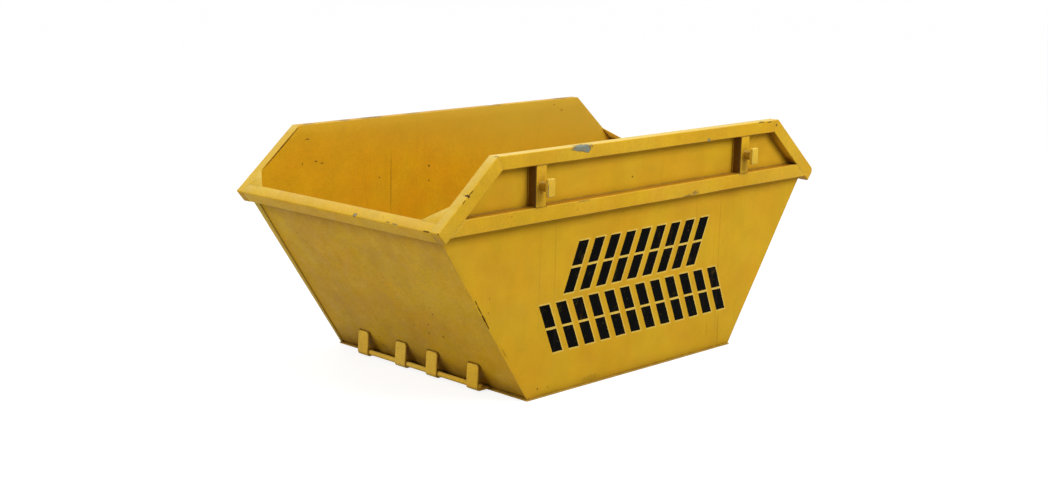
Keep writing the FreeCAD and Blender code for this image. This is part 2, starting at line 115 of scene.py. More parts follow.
def add_node(kind, inputs=None, tree=None, **settings):
    inputs = inputs or {}
    if tree is None:
        tree = next(v.id_data for v in inputs.values() if isinstance(v, bpy.types.NodeSocket))
    node = tree.nodes.new(kind)
    for name, value in settings.items():
        setattr(node, name, value)
    for socket, value in inputs.items():
        plug(value, node.inputs[socket])
    return node


def maths(operation, first, second=0.0, third=0.0, clamp=False):
    inputs = {0: first, 1: second, 2: third}
    return add_node("ShaderNodeMath", inputs, operation=operation, use_clamp=clamp).outputs[0]


def times(first, second):
    return maths("MULTIPLY", first, second)


def times_plus(first, second, third, clamp=False):
    return maths("MULTIPLY_ADD", first, second, third, clamp)


def minus(first, second, clamp=False):
    return maths("SUBTRACT", first, second, clamp=clamp)


def most(first, second, clamp=False):
    return maths("MAXIMUM", first, second, clamp=clamp)


def size_of(value):
    return maths("ABSOLUTE", value)


def vector_maths(operation, first, second=(0, 0, 0)):
    return add_node("ShaderNodeVectorMath", {0: first, 1: second}, operation=operation).outputs


def blend(share, first, second):
    """The first colour, with the second laid over it by that share."""
    return add_node("ShaderNodeMix", {0: share, 6: first, 7: second}, data_type="RGBA").outputs[2]


def spread(value, low, high, out_low=0.0, out_high=1.0):
    """A soft step: out_low below low, out_high above high."""
    inputs = {"Value": value, "From Min": low, "From Max": high, "To Min": out_low, "To Max": out_high}
    return add_node("ShaderNodeMapRange", inputs, interpolation_type="SMOOTHSTEP").outputs[0]


def noise(place, scale, detail=3.0, roughness=0.55):
    inputs = {"Vector": place, "Scale": scale, "Detail": detail, "Roughness": roughness}
    return add_node("ShaderNodeTexNoise", inputs).outputs["Fac"]


def turned(place, turn):
    return add_node("ShaderNodeMapping", {"Vector": place, "Rotation": turn}).outputs[0]


def stretched(place, stretch):
    """The place stretched along its axes, so that a noise read there makes lines."""
    return vector_maths("MULTIPLY", place, stretch)[0]


def axes_of(vector):
    return add_node("ShaderNodeSeparateXYZ", {0: vector}).outputs


# %% [markdown]
# ## Groups and colours
# An effect that several paints share, such as dust or chips, is a node group: built once, then placed in
# each paint with its own values. Here a group is written as a recipe. The arguments are the sockets that
# come in, and what it returns goes out. Colours are given as they are read off a screen.

# %% Helpers for groups and colours
SOCKETS = {float: "NodeSocketFloat", Vector: "NodeSocketVector", tuple: "NodeSocketColor"}


def as_group(**outputs):
    """Makes a recipe into a node group of the same name, with these sockets for what it returns."""

    def make(recipe):
        tree = bpy.data.node_groups.new(recipe.__name__, "ShaderNodeTree")
        inputs = recipe.__annotations__
        for in_out, sockets in (("INPUT", inputs), ("OUTPUT", outputs)):
            for label, kind in sockets.items():
                tree.interface.new_socket(label, in_out=in_out, socket_type=SOCKETS[kind])
        given = add_node("NodeGroupInput", tree=tree).outputs
        result = add_node("NodeGroupOutput", tree=tree).inputs
        for label, value in zip(outputs, recipe(*[given[label] for label in inputs])):
            plug(value, result[label])
        print("group", tree.name, "of", len(tree.nodes), "nodes")
        return tree

    return make


def use_group(tree, group, **inputs):
    return add_node("ShaderNodeGroup", inputs, tree, node_tree=group).outputs


def colour(red, green, blue):
    """A colour as it is read off a screen, from 0 to 255, made linear for the shader."""
    parts = [c / 255 for c in (red, green, blue)]
    return (*[c / 12.92 if c <= 0.04045 else ((c + 0.055) / 1.055) ** 2.4 for c in parts], 1.0)


# %% [markdown]
# ## The stage and the light
# The photograph is cut out on white. So the floor and the world show as white to the camera, and to
# gloss that mirrors them, while the light that they throw back on the skip stays modest. That keeps
# the overhanging ends in shade. One soft lamp stands high in front of the near side, a wide one hangs
# overhead and lights the top faces, and two weaker ones fill the front end and the back.

# %% Floor, world and lamps
WHITE = (1, 1, 1, 1)
FLOOR_SIZE = 60.0
FLOOR_DROP = 0.5 * MM
FLOOR_GLOW = 0.85
FLOOR_SHOWN = 0.26
FLOOR_BOUNCE = 0.44
SKY_LIGHT = 0.56


def seen_directly(tree):
    """1 for rays that show a surface: from the camera, or by way of gloss or glass."""
    path = add_node("ShaderNodeLightPath", tree=tree).outputs
    gloss = most(path["Is Glossy Ray"], path["Is Transmission Ray"])
    return most(path["Is Camera Ray"], gloss)


def make_floor():
    bpy.ops.mesh.primitive_plane_add(size=FLOOR_SIZE, location=(0, 0, -FLOOR_DROP))
    floor = bpy.context.object
    floor.name = "floor"
    material = bpy.data.materials.new("pale_floor")
    material.use_nodes = True
    tree = material.node_tree
    tree.nodes.clear()
    glow = add_node("ShaderNodeEmission", {"Color": WHITE, "Strength": FLOOR_GLOW}, tree)
    pale = add_node("ShaderNodeBsdfDiffuse", {"Color": (FLOOR_SHOWN,) * 3 + (1,)}, tree)
    dull = add_node("ShaderNodeBsdfDiffuse", {"Color": (FLOOR_BOUNCE,) * 3 + (1,)}, tree)
    shown = add_node("ShaderNodeAddShader", {0: glow.outputs[0], 1: pale.outputs[0]})
    mixed = {0: seen_directly(tree), 1: dull.outputs[0], 2: shown.outputs[0]}
    surface = add_node("ShaderNodeMixShader", mixed).outputs[0]
    add_node("ShaderNodeOutputMaterial", {"Surface": surface})
    floor.data.materials.append(material)
    floor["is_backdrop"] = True


def make_world():
    world = bpy.data.worlds.new("white_room")
    world.use_nodes = True
    world.node_tree.nodes.clear()
    strength = times_plus(seen_directly(world.node_tree), 1 - SKY_LIGHT, SKY_LIGHT)
    light = add_node("ShaderNodeBackground", {"Color": WHITE, "Strength": strength})
    add_node("ShaderNodeOutputWorld", {"Surface": light.outputs[0]})
    bpy.context.scene.world = world


def make_lamp(name, place, aim, size, power):
    lamp = bpy.data.lights.new(name, "AREA")
    lamp.size = size
    lamp.energy = power
    holder = bpy.data.objects.new(name, lamp)
    holder.location = place
    holder.rotation_euler = (Vector(aim) - Vector(place)).to_track_quat("-Z", "Y").to_euler()
    bpy.context.scene.collection.objects.link(holder)


make_floor()
make_world()
make_lamp("key_lamp", (0.9, -5.1, 4.5), (0, 0, 0.6), size=2.8, power=207)
make_lamp("fill_lamp", (-5.5, 0.6, 1.9), (-1.0, 0, 0.5), size=2.5, power=65)
make_lamp("top_lamp", (-0.4, -0.6, 6.0), (-0.2, 0, 0.6), size=4.0, power=124)
make_lamp("back_lamp", (1.5, 6.0, 3.0), (0, 0, 0.5), size=3.0, power=110)
bpy.context.scene.view_settings.view_transform = "Standard"
print("floor, world and", len(bpy.data.lights), "lamps")

# %% [markdown]
# ## Paint that has lived outdoors
# One coat of yellow covers everything, but sun, rain and handling leave it uneven: wide clouds of a
# faded tone, patches nearer to orange or to lemon, a mottle, a fine grain and a film of dust. A noise
# at each of these scales does that. Every paint below uses this group with its own colours, and says
# with grain how strong the finest of the noises are.

# %% Group: the tone of weathered paint


@as_group(colour=tuple, dusty=float)
def weathered_tone(place: Vector, fresh: tuple, faded: tuple, dust: tuple, dust_share: float, grain: float):
    clouds = spread(noise(place, 1.5, 3.0), 0.36, 0.66)
    tone = blend(clouds, fresh, faded)
    patches = spread(noise(place, 8.0, 4.0, 0.5), 0.25, 0.75, 0.95, 1.05)
    mottle = spread(noise(place, 60.0, 3.0, 0.7), 0.30, 0.70, -0.05, 0.05)
    fine = spread(noise(place, 190.0, 1.0), 0.30, 0.70, -0.10, 0.10)
    light = times_plus(maths("ADD", mottle, fine), grain, patches)
    hue = spread(noise(place, 4.5, 2.0, 0.5), 0.30, 0.70, 0.496, 0.504)
    shifted = {"Color": tone, "Value": light, "Hue": hue}
    tone = add_node("ShaderNodeHueSaturation", shifted).outputs[0]
    film = spread(noise(place, 3.4, 6.0, 0.68), 0.40, 0.70)
    specks = spread(noise(place, 140.0, 2.0, 0.6), 0.46, 0.66, 0.0, 0.08)
    film = times_plus(film, dust_share, times(specks, grain))
    return blend(film, tone, dust), film


# %% [markdown]
# ## Where edges and corners are
# Paint wears off outer edges and dirt gathers in inner corners, so both places have to be found. The
# edge mask also carries a painted highlight, and the corner masks carry painted shade as well as dirt. A
# Bevel node bends the normal near every edge, and how far it bends is the edge mask. Ambient
# occlusion finds the corners: once with a wide reach, for the soft brown round them, dirt and painted
# shade, and once with a reach of a few millimetres, for the dark line where two sheets meet, a dark joint
# with painted shade in it.

# %% Group: edges and seams
CREASE_REACH = 14 * MM


@as_group(edge=float, seam=float, crease=float)
def edges_and_seams(width: float, reach: float):
    tree = width.id_data
    rounded = add_node("ShaderNodeBevel", {"Radius": width}, samples=4).outputs[0]
    true_normal = add_node("ShaderNodeNewGeometry", tree=tree).outputs["Normal"]
    same = vector_maths("DOT_PRODUCT", rounded, true_normal)["Value"]
    wide, close = (
        add_node("ShaderNodeAmbientOcclusion", {"Distance": distance}, tree, samples=6).outputs["AO"]
        for distance in (reach, CREASE_REACH)
    )
    edge = times(spread(same, 0.99, 0.80), spread(close, 0.60, 0.90))
    return edge, spread(wide, 0.90, 0.35), spread(close, 0.86, 0.42)


# %% [markdown]
# ## Chips, rust and scratches
# A chain or a loader's bucket knocks paint off in ragged flakes. The middle of a flake is bare grey
# steel, and its border rusts first. Edge wear times a coarse noise says which lengths are knocked,
# and a fine noise makes the outline ragged. Single marks that the photograph shows are laid on one by
# one with the second group: a soft ball round a point, turned, stretched and torn by a noise.

# %% Groups: flakes, marks and scratches


@as_group(bare=float, rust=float)
def flaked_paint(place: Vector, edge: float, wear: float, specks: float):
    ragged = noise(place, 85.0, 5.0, 0.68)
    lengths = noise(place, 7.5, 3.0, 0.6)
    worn = times(edge, times(spread(lengths, 0.46, 0.72), wear))
    torn = times_plus(minus(ragged, 0.5), 1.6, worn)
    torn = times(torn, spread(edge, 0.02, 0.15))
    bare = spread(torn, 0.66, 0.72)
    rim = spread(torn, 0.42, 0.50)
    speck = spread(noise(place, 62.0, 2.0, 0.5), 0.735, 0.755)
    speck = times(speck, spread(noise(place, 2.3, 1.0), 0.44, 0.58))
    return bare, most(minus(rim, bare), times(speck, specks), clamp=True)


@as_group(core=float, rim=float)
def single_mark(place: Vector, centre: Vector, turn: Vector, reach: Vector, torn: float):
    apart = turned(vector_maths("SUBTRACT", place, centre)[0], turn)
    apart = vector_maths("DIVIDE", apart, reach)[0]
    far = vector_maths("LENGTH", apart)["Value"]
    ragged = minus(noise(place, 95.0, 6.0, 0.72), 0.5)
    far = times_plus(ragged, torn, far)
    core = spread(far, 1.0, 0.94)
    return core, minus(spread(far, 1.20, 1.08), core, clamp=True)


@as_group(lines=float)
def scratches(place: Vector, turn: Vector, amount: float):
    thin = stretched(turned(place, turn), (5.0, 5.0, 90.0))
    level = size_of(minus(noise(thin, 1.0, 2.0), 0.5))
    line = spread(level, 0.012, 0.003)
    broken = spread(noise(place, 11.0, 3.0), 0.58, 0.68)
    return [times(times(line, broken), amount)]


# %% [markdown]
# ## Rain streaks
# Rain carries dirt straight down a wall. A noise that is squeezed sideways and stretched in height
# gives streaks of that kind on walls of any direction.

# %% Group: streaks


@as_group(streak=float)
def rain_streaks(place: Vector):
    runs = spread(noise(stretched(place, (26.0, 26.0, 1.3)), 1.0, 3.0, 0.6), 0.56, 0.80)
    where = spread(noise(place, 2.1, 2.0), 0.42, 0.66)
    return [times(runs, where)]


# %% [markdown]
# ## A stencilled marking
# The near side carries a block of black marking, sprayed through a stencil. Here it is a plain warning
# pattern: two rows of slanted bars that meet as chevrons. Each bar is cut by a bridge, the strip that
# holds a stencil together. The edge is a little uneven, as sprayed paint is, and the stencil kept the
# yellow next to it clean and pale.

# %% Group: stencilled bars
ROW_MIDDLES = (0.572, 0.310)
ROW_HALF_HEIGHT = 0.114
ROW_STARTS = (-0.468, -0.628)
ROW_COUNTS = (9, 12)
ROW_LEANS = (1, -1)
BAR_PITCH = 0.110
BAR_SHARE = 0.62
BAR_SLANT = 0.42
BRIDGE_HALF = 0.0055
SPRAY_EDGE = 0.005


@as_group(black=float, halo=float)
def stencilled_bars(place: Vector):
    wobble = minus(noise(place, 130.0, 4.0, 0.6), 0.5)
    axes = axes_of(place)
    black = halo = 0.0
    for middle, start, count, lean in zip(ROW_MIDDLES, ROW_STARTS, ROW_COUNTS, ROW_LEANS):
        up = minus(axes["Z"], middle)
        along = times_plus(up, -lean * BAR_SLANT, axes["X"])
        step = maths("DIVIDE", minus(along, start), BAR_PITCH)
        within = minus(maths("FRACT", step), BAR_SHARE / 2)
        outside = times(minus(size_of(within), BAR_SHARE / 2), BAR_PITCH)
        height = minus(size_of(up), ROW_HALF_HEIGHT)
        bridge = minus(BRIDGE_HALF, size_of(up))
        half_row = (count - 1 + BAR_SHARE) / 2
        ends = times(minus(size_of(minus(step, half_row)), half_row), BAR_PITCH)
        edge = most(most(outside, height), most(bridge, ends))
        edge = times_plus(wobble, SPRAY_EDGE, edge)
        black = most(spread(edge, 0.8 * MM, -0.8 * MM), black)
        halo = most(spread(edge, 10 * MM, 3 * MM), halo)
    return black, halo


# %% [markdown]
# ## The paint materials
# Each finish is the same stack, from the steel up: tone, a paler tone towards the top of a wall, dust
# with a painted top light on faces that look up, rubbed edges with a painted highlight, streaks, dirt
# and painted shade in the seams, painted shade under the rims, then what has come off: flakes, marks
# and scratches. The settings differ by where a piece is and what touches it. Chips are also dents in
# the coat, so the same masks feed the bump.

# %% Colours of the finish
YELLOW = colour(205, 157, 14)
SIDE_YELLOW = colour(206, 158, 33)
SOFT_YELLOW = colour(209, 162, 36)
FADED_YELLOW = colour(210, 165, 32)
PALE_YELLOW = colour(216, 173, 44)
DEEP_YELLOW = colour(205, 151, 4)
GEAR_YELLOW = colour(230, 182, 48)
BRIGHT_YELLOW = colour(232, 192, 74)
LIGHTENED_YELLOW = colour(247, 224, 114)
SHADED_YELLOW = colour(124, 88, 14)
DARK_YELLOW = colour(92, 60, 12)
WELD_YELLOW = colour(158, 114, 14)
SHELF_YELLOW = colour(184, 131, 14)
DUST = colour(170, 132, 70)
# Dust lying on faces that look up, and a painted top light on them
SETTLED_DUST_AND_TOP_LIGHT = colour(214, 196, 112)
PALER_TOP_YELLOW = colour(194, 160, 46)
# The brown of dirt, also used for painted shade
SOIL_AND_SHADE = colour(120, 77, 3)
# Dark joint dirt, also used for painted shade in creases
CREASE_DIRT_AND_SHADE = colour(62, 40, 8)
BARE_STEEL = colour(122, 127, 112)
RUST = colour(72, 44, 14)
PALE_SCRATCH = colour(226, 190, 84)
# Pale edge paint: rubbed paint and a painted highlight
RUBBED_AND_HIGHLIGHT = colour(238, 208, 104)
STENCIL_BLACK = colour(4, 4, 3)
CLEAN_YELLOW = colour(234, 206, 108)
print("the yellow in linear light:", [round(part, 3) for part in YELLOW])

# %% Function: a coat of paint
EAVES_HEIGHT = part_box("end_rim_front")[0].z
EAVES_REACH = 0.09
SUN_SLANT = 0.155
SCRATCH_TURNS = ((0.6, 0.9, 0.4), (-0.5, 0.5, 1.3))
BUMP_DEPTH = 0.7 * MM


def paint_material(
    name, fresh=YELLOW, faded=FADED_YELLOW, dust_share=0.10, wear=0.8, specks=0.6, soil_and_shade=0.55, crease=0.75,
    reach=48 * MM, streak=0.14, scratch=0.12, rub_and_highlight=0.35, edge_width=4 * MM, paler_top=0.0, settled_and_top_light=0.32,
    grain=1.0, rim_shade=0.0, sheen=0.14, marks=(), stencil=False,
):
    """One coat. Each share says how much of an effect it has, among them a paler tone towards the top of a
    wall, dust with a painted top light on faces that look up, and a painted shade just under an end rim."""
    material = bpy.data.materials.new(name)
    material.use_nodes = True
    tree = material.node_tree
    shader = tree.nodes["Principled BSDF"].inputs
    place = add_node("ShaderNodeTexCoord", tree=tree).outputs["Object"]
    normal = add_node("ShaderNodeNewGeometry", tree=tree).outputs["Normal"]
    axes = axes_of(place)
    tone = use_group(
        tree, weathered_tone,
        place=place, fresh=fresh, faded=faded, dust=DUST, dust_share=dust_share, grain=grain,
    )
    found = use_group(tree, edges_and_seams, width=edge_width, reach=reach)
    patchy = spread(noise(place, 16.0, 5.0, 0.65), 0.25, 0.75, 0.40, 1.0)
    layers = [
        # Paler towards the top of a wall and towards +X
        (spread(times_plus(axes["X"], SUN_SLANT, axes["Z"]), 0.80, 1.20, 0.0, paler_top), PALER_TOP_YELLOW),
        # Dust and a painted top light on faces that look up
        (spread(axes_of(normal)["Z"], 0.60, 0.95, 0.0, settled_and_top_light), SETTLED_DUST_AND_TOP_LIGHT),
        # Rubbed paint and a painted highlight along outer edges
        (times(found["edge"], rub_and_highlight), RUBBED_AND_HIGHLIGHT),
    ]
    if stencil:
        bars = use_group(tree, stencilled_bars, place=place)
        worn = spread(noise(place, 75.0, 5.0, 0.7), 0.28, 0.34, 0.7, 1.0)
        layers += [(times(bars["halo"], 0.55), CLEAN_YELLOW), (times(bars["black"], worn), STENCIL_BLACK)]
    runs = use_group(tree, rain_streaks, place=place)["streak"]
    # Dirt and painted shade in the soft brown round inner corners
    seam_dirt_and_shade = times(times(found["seam"], patchy), soil_and_shade)
    # Painted shade in a band just under the end rims
    below = spread(axes["Z"], EAVES_HEIGHT - EAVES_REACH, EAVES_HEIGHT, 0.0, rim_shade)
    lines = most(*[
        use_group(tree, scratches, place=place, turn=turn, amount=scratch)["lines"] for turn in SCRATCH_TURNS
    ])
    layers += [
        (times(runs, streak), SOIL_AND_SHADE),
        (seam_dirt_and_shade, SOIL_AND_SHADE),
        (times(below, patchy), SOIL_AND_SHADE),
        # A dark joint line with painted shade in the creases
        (times(times(found["crease"], patchy), crease), CREASE_DIRT_AND_SHADE),
        (lines, PALE_SCRATCH),
    ]
    flakes = use_group(tree, flaked_paint, place=place, edge=found["edge"], wear=wear, specks=specks)
    bare, rust = flakes["bare"], flakes["rust"]
    for mark in marks:
        spot = use_group(
            tree, single_mark,
            place=place, centre=mark.place, turn=(0, mark.turn, 0), reach=mark.reach, torn=mark.torn,
        )
        bare = most(bare, times(spot["core"], mark.steel))
        ring = times_plus(spot["core"], 1 - mark.steel, spot["rim"], clamp=True)
        rust = most(rust, times(ring, mark.strength))
    base = tone["colour"]
    for share, over in layers + [(rust, RUST), (bare, BARE_STEEL)]:
        base = blend(share, base, over)
    plug(base, shader["Base Color"])
    gone = most(bare, rust)
    dull = times_plus(tone["dusty"], 0.5, noise(place, 20.0, 4.0))
    dull = times_plus(seam_dirt_and_shade, 0.5, dull)
    roughness = most(spread(dull, 0.2, 1.2, 0.46, 0.85), times(gone, 0.72))
    plug(roughness, shader["Roughness"])
    plug(times(bare, 0.25), shader["Metallic"])
    shader["Specular IOR Level"].default_value = sheen
    coat = times(noise(place, 420.0, 1.0), 0.08)
    coat = times_plus(noise(place, 60.0, 3.0), 0.30, coat)
    coat = times_plus(gone, -0.55, coat)
    coat = times_plus(lines, -0.2, coat)
    coat = times_plus(times(rust, noise(place, 300.0, 3.0)), 0.6, coat)
    bump = add_node("ShaderNodeBump", {"Height": coat, "Strength": 0.6, "Distance": BUMP_DEPTH})
    plug(bump.outputs[0], shader["Normal"])
    return material


# %% [markdown]
# ## Single marks
# These are the knocks that the photograph shows, each at its place: the big bare patch on the top rail,
# the flecks along the slope rail, the rim and the far rail's upper face, and the small spots and runs on
# the walls. The floor of the hold can't be seen, so its scrapes are made up. A mark has a place, a reach
# along each axis, how torn its outline is, how much of it is bare steel and not rust, how strong it
# shows, and a turn about the Y axis.

# %% Marks on the rails and the rim
Mark = namedtuple("Mark", "place reach torn steel strength turn", defaults=(2.0, 0.0, 1.0, 0.0))
SLOPE = radians(40.4)
RAIL_MARKS = (
    Mark((-0.474, -0.695, 1.120), (0.052, 0.03, 0.015), 3.2, 1.0, 1.0),
    Mark((-0.440, -0.695, 1.107), (0.018, 0.03, 0.013), 3.0, 1.0, 1.0),
    Mark((-0.525, -0.695, 1.116), (0.018, 0.03, 0.005), 3.0, 0.6, 1.0),
    Mark((0.434, -0.695, 1.075), (0.010, 0.02, 0.007), 1.0, 0.9, 0.6),
    Mark((0.294, -0.695, 0.819), (0.026, 0.02, 0.005), 6.0, 0.15, 0.60),
    Mark((0.347, -0.695, 0.828), (0.020, 0.02, 0.009), 7.0, 0.15, 0.60),
    Mark((-0.454, -0.695, 0.879), (0.036, 0.02, 0.003), 6.0, 0.10, 0.45),
    Mark((-1.153, -0.696, 0.993), (0.013, 0.03, 0.002), 3.0, 0.0, 0.9, SLOPE),
    Mark((-1.170, -0.696, 0.978), (0.007, 0.03, 0.005), 3.0, 0.0, 1.0, -0.5),
    Mark((-1.196, -0.696, 0.957), (0.012, 0.03, 0.002), 3.0, 0.0, 0.9, SLOPE),
    Mark((-1.000, -0.695, 1.127), (0.006, 0.02, 0.002), 2.2, 0.0, 0.7),
    Mark((0.860, -0.695, 1.125), (0.022, 0.02, 0.003), 3.0, 0.0, 0.8),
    Mark((0.925, -0.695, 1.121), (0.014, 0.02, 0.003), 3.0, 0.0, 0.8),
    Mark((0.986, -0.695, 1.101), (0.006, 0.02, 0.006), 2.0, 0.0, 0.8),
    Mark((-1.332, -0.164, 0.847), (0.008, 0.011, 0.010), 0.5, 0.75, 0.9),
    Mark((-1.334, -0.380, 0.845), (0.003, 0.014, 0.003), 3.6, 0.3, 0.9),
    Mark((-1.335, -0.428, 0.844), (0.003, 0.013, 0.003), 3.6, 0.5, 0.9),
    Mark((-1.337, -0.622, 0.842), (0.003, 0.016, 0.003), 3.4, 0.0, 0.9),
    Mark((-1.338, -0.690, 0.842), (0.003, 0.004, 0.004), 2.6, 0.0, 1.0),
)

# %% Marks on the walls
WALL_REACH = 0.02


def wall_marks(y, *rows):
    """Marks on an upright wall. A row has x, z, the reach along both, and what else a mark takes."""
    return tuple(Mark((x, y, z), (wide, WALL_REACH, high), *rest) for x, z, wide, high, *rest in rows)


NEAR_MARKS = wall_marks(
    -0.646,
    (-0.575, 0.640, 0.003, 0.190, 1.0, 0.0, 0.16),
    (-0.675, 0.560, 0.003, 0.230, 1.0, 0.0, 0.10),
    (0.430, 0.610, 0.003, 0.200, 1.0, 0.0, 0.14),
    (0.622, 0.450, 0.003, 0.360, 1.0, 0.0, 0.16),
    (0.585, 0.500, 0.002, 0.300, 1.0, 0.0, 0.10),
    (-0.673, 0.044, 0.004, 0.004, 1.0, 0.0, 0.8),
    (-0.606, 0.040, 0.003, 0.003, 1.0, 0.0, 0.8),
    (-0.064, 0.942, 0.005, 0.004, 1.0, 0.0, 0.8),
    (-0.310, 0.026, 0.050, 0.012, 4.0, 0.0, 0.22),
    (0.555, 0.110, 0.0022, 0.040, 2.5, 0.0, 0.28),
    (0.648, 0.085, 0.0025, 0.080, 2.5, 0.0, 0.32),
    (-1.066, 0.502, 0.0025, 0.014, 2.0, 0.0, 0.9, 0.58),
    (-1.044, 0.466, 0.003, 0.022, 2.5, 0.0, 0.95, 0.58),
    (-1.013, 0.417, 0.004, 0.026, 3.0, 0.0, 1.0, 0.58),
    (-0.995, 0.388, 0.003, 0.014, 2.5, 0.0, 0.9, 0.58),
    (-0.890, 0.250, 0.003, 0.024, 2.0, 0.0, 0.40, 0.58),
    (-0.985, 0.508, 0.003, 0.003, 1.0, 0.0, 0.7),
    (-0.992, 0.446, 0.003, 0.003, 1.0, 0.0, 0.6),
)
HOLD_MARKS = wall_marks(
    0.643,
    (-0.408, 0.790, 0.003, 0.140, 1.2, 0.0, 0.40),
    (-0.949, 1.058, 0.010, 0.004, 3.0, 0.0, 0.6),
    (-0.898, 0.944, 0.008, 0.004, 3.0, 0.0, 0.7),
    (-0.857, 0.932, 0.010, 0.003, 3.0, 0.0, 0.6),
    (-0.981, 0.939, 0.004, 0.006, 2.5, 0.0, 0.5),
    (0.869, 1.066, 0.008, 0.004, 3.0, 0.0, 0.5),
    (0.810, 1.100, 0.006, 0.004, 3.0, 0.0, 0.5),
    (-1.110, 1.029, 0.120, 0.003, 2.0, 0.0, 0.85, SLOPE),
    (-0.143, 0.849, 0.007, 0.005, 3.0, 0.0, 0.7),
    (-0.142, 0.771, 0.006, 0.004, 3.0, 0.0, 0.7),
    (-0.486, 0.822, 0.005, 0.004, 3.0, 0.0, 0.6),
)

# %% Marks on the floor, the far rail and the end sheets
FLOOR_MARKS = (
    Mark((-0.30, -0.22, 0.006), (0.160, 0.004, 0.02), 2.5, 0.35, 0.50),
    Mark((0.12, 0.10, 0.006), (0.220, 0.003, 0.02), 2.5, 0.20, 0.45),
    Mark((0.25, -0.35, 0.006), (0.120, 0.006, 0.02), 3.0, 0.50, 0.50),
    Mark((-0.42, 0.31, 0.006), (0.090, 0.010, 0.02), 3.5, 0.40, 0.50),
    Mark((0.44, 0.26, 0.006), (0.130, 0.005, 0.02), 3.0, 0.30, 0.45),
    Mark((-0.10, -0.42, 0.006), (0.200, 0.003, 0.02), 2.5, 0.20, 0.40),
    Mark((-0.05, 0.44, 0.006), (0.050, 0.014, 0.02), 3.5, 0.50, 0.55),
)
FAR_TOP_MARKS = (
    Mark((-0.93, 0.656, 1.128), (0.030, 0.020, 0.004), 3.0, 0.0, 0.50),
    Mark((-0.70, 0.668, 1.128), (0.030, 0.030, 0.004), 3.0, 0.0, 0.50),
    Mark((-0.52, 0.668, 1.128), (0.060, 0.030, 0.004), 3.0, 0.0, 0.60),
    Mark((-0.25, 0.664, 1.128), (0.050, 0.020, 0.004), 4.0, 0.0, 0.40),
    Mark((0.36, 0.664, 1.128), (0.060, 0.020, 0.004), 4.0, 0.0, 0.40),
    Mark((0.88, 0.668, 1.128), (0.050, 0.020, 0.004), 4.0, 0.0, 0.50),
)
END_MARKS = (
    Mark((-0.884, -0.256, 0.241), (0.006, 0.006, 0.005), 1.5, 0.0, 0.8),
    Mark((-0.916, -0.190, 0.290), (0.006, 0.005, 0.004), 1.5, 0.0, 0.8),
    Mark((-0.884, -0.162, 0.241), (0.006, 0.005, 0.004), 1.5, 0.0, 0.8),
    Mark((-0.966, -0.270, 0.365), (0.006, 0.005, 0.004), 1.5, 0.0, 0.8),
)
ALL_MARKS = RAIL_MARKS + NEAR_MARKS + HOLD_MARKS + FLOOR_MARKS + FAR_TOP_MARKS + END_MARKS
print(len(ALL_MARKS), "single marks")

# %% [markdown]
# ## The paints
# Every kind of place gets a coat of its own: walls, rims and rails, the undersides, painted dark as painted
# shade, the shelves that look up, and the lips at the ends of the side sheets, painted pale as painted
# light. The tipping gear and the lug heads are painted lighter as painted light, and the pins and the
# post flanks darker as painted shade. They differ in tone, wear and dirt.

# %% Paints of the sheets
near_paint = paint_material(
    "panel_paint_marked", SIDE_YELLOW, SOFT_YELLOW, 0.08, wear=1.0, grain=0.2, sheen=0.02,
    marks=NEAR_MARKS, stencil=True,
)
panel_paint = paint_material("panel_paint", dust_share=0.14, wear=1.3, streak=0.20, grain=0.6)
# The end sheets get painted shade under the rim and, with a wide reach, painted shade round the brackets as
# well as dirt
end_paint = paint_material(
    "end_paint", dust_share=0.34, specks=1.0, soil_and_shade=0.65, crease=0.9, reach=110 * MM, streak=0.26,
    scratch=0.30, rim_shade=0.6, marks=END_MARKS,
)
hold_paint = paint_material(
    "hold_paint", DEEP_YELLOW, YELLOW, 0.02, specks=0.8, paler_top=0.8, grain=0.8, marks=HOLD_MARKS
)
hold_floor_paint = paint_material(
    "hold_floor_paint", DEEP_YELLOW, YELLOW, 0.50, wear=1.3, specks=1.0, soil_and_shade=0.9, streak=0.3, scratch=1.0,
    marks=FLOOR_MARKS,
)
print(len(bpy.data.materials), "materials so far")

# %% Paints of the rails, lugs and gear
rail_paint = paint_material(
    "rail_paint", dust_share=0.08, wear=1.0, soil_and_shade=0.15, crease=0.2, rub_and_highlight=0.8, settled_and_top_light=0.60, grain=0.8,
    marks=RAIL_MARKS,
)
shelf_paint = paint_material(
    "shelf_paint", SHELF_YELLOW, SHELF_YELLOW, 0.02, soil_and_shade=0.4, crease=0.5, rub_and_highlight=0.5, settled_and_top_light=0.0,
    grain=0.8,
)
far_top_paint = paint_material(
    "far_top_paint", SHELF_YELLOW, FADED_YELLOW, 0.05, wear=1.3, specks=1.0, soil_and_shade=0.3, rub_and_highlight=0.2,
    settled_and_top_light=0.15, marks=FAR_TOP_MARKS,
)
rim_paint = paint_material(
    "rim_paint", dust_share=0.14, wear=1.0, soil_and_shade=0.15, crease=0.2, rub_and_highlight=0.5, settled_and_top_light=0.25, marks=RAIL_MARKS
)
# Painted shade: the undersides of the rails are painted darker, with dirt
rail_shade_paint = paint_material(
    "rail_shade_paint", SHADED_YELLOW, YELLOW, 0.10, wear=1.0, soil_and_shade=1.0, crease=1.0, marks=RAIL_MARKS
)
# Painted light: a paler paint for faces that stand in shade, the lips and the undersides of rims and gussets
lightened_paint = paint_material("lightened_paint", LIGHTENED_YELLOW, LIGHTENED_YELLOW, 0.05, wear=1.0, soil_and_shade=0.0, crease=0.25)
gusset_paint = paint_material(
    "gusset_paint", soil_and_shade=0.1, crease=0.1, rub_and_highlight=0.3, edge_width=3 * MM, settled_and_top_light=0.60
)
lug_paint = paint_material(
    "lug_paint", YELLOW, FADED_YELLOW, 0.08, wear=1.1, specks=1.0, soil_and_shade=0.30, rub_and_highlight=0.8, edge_width=3 * MM
)
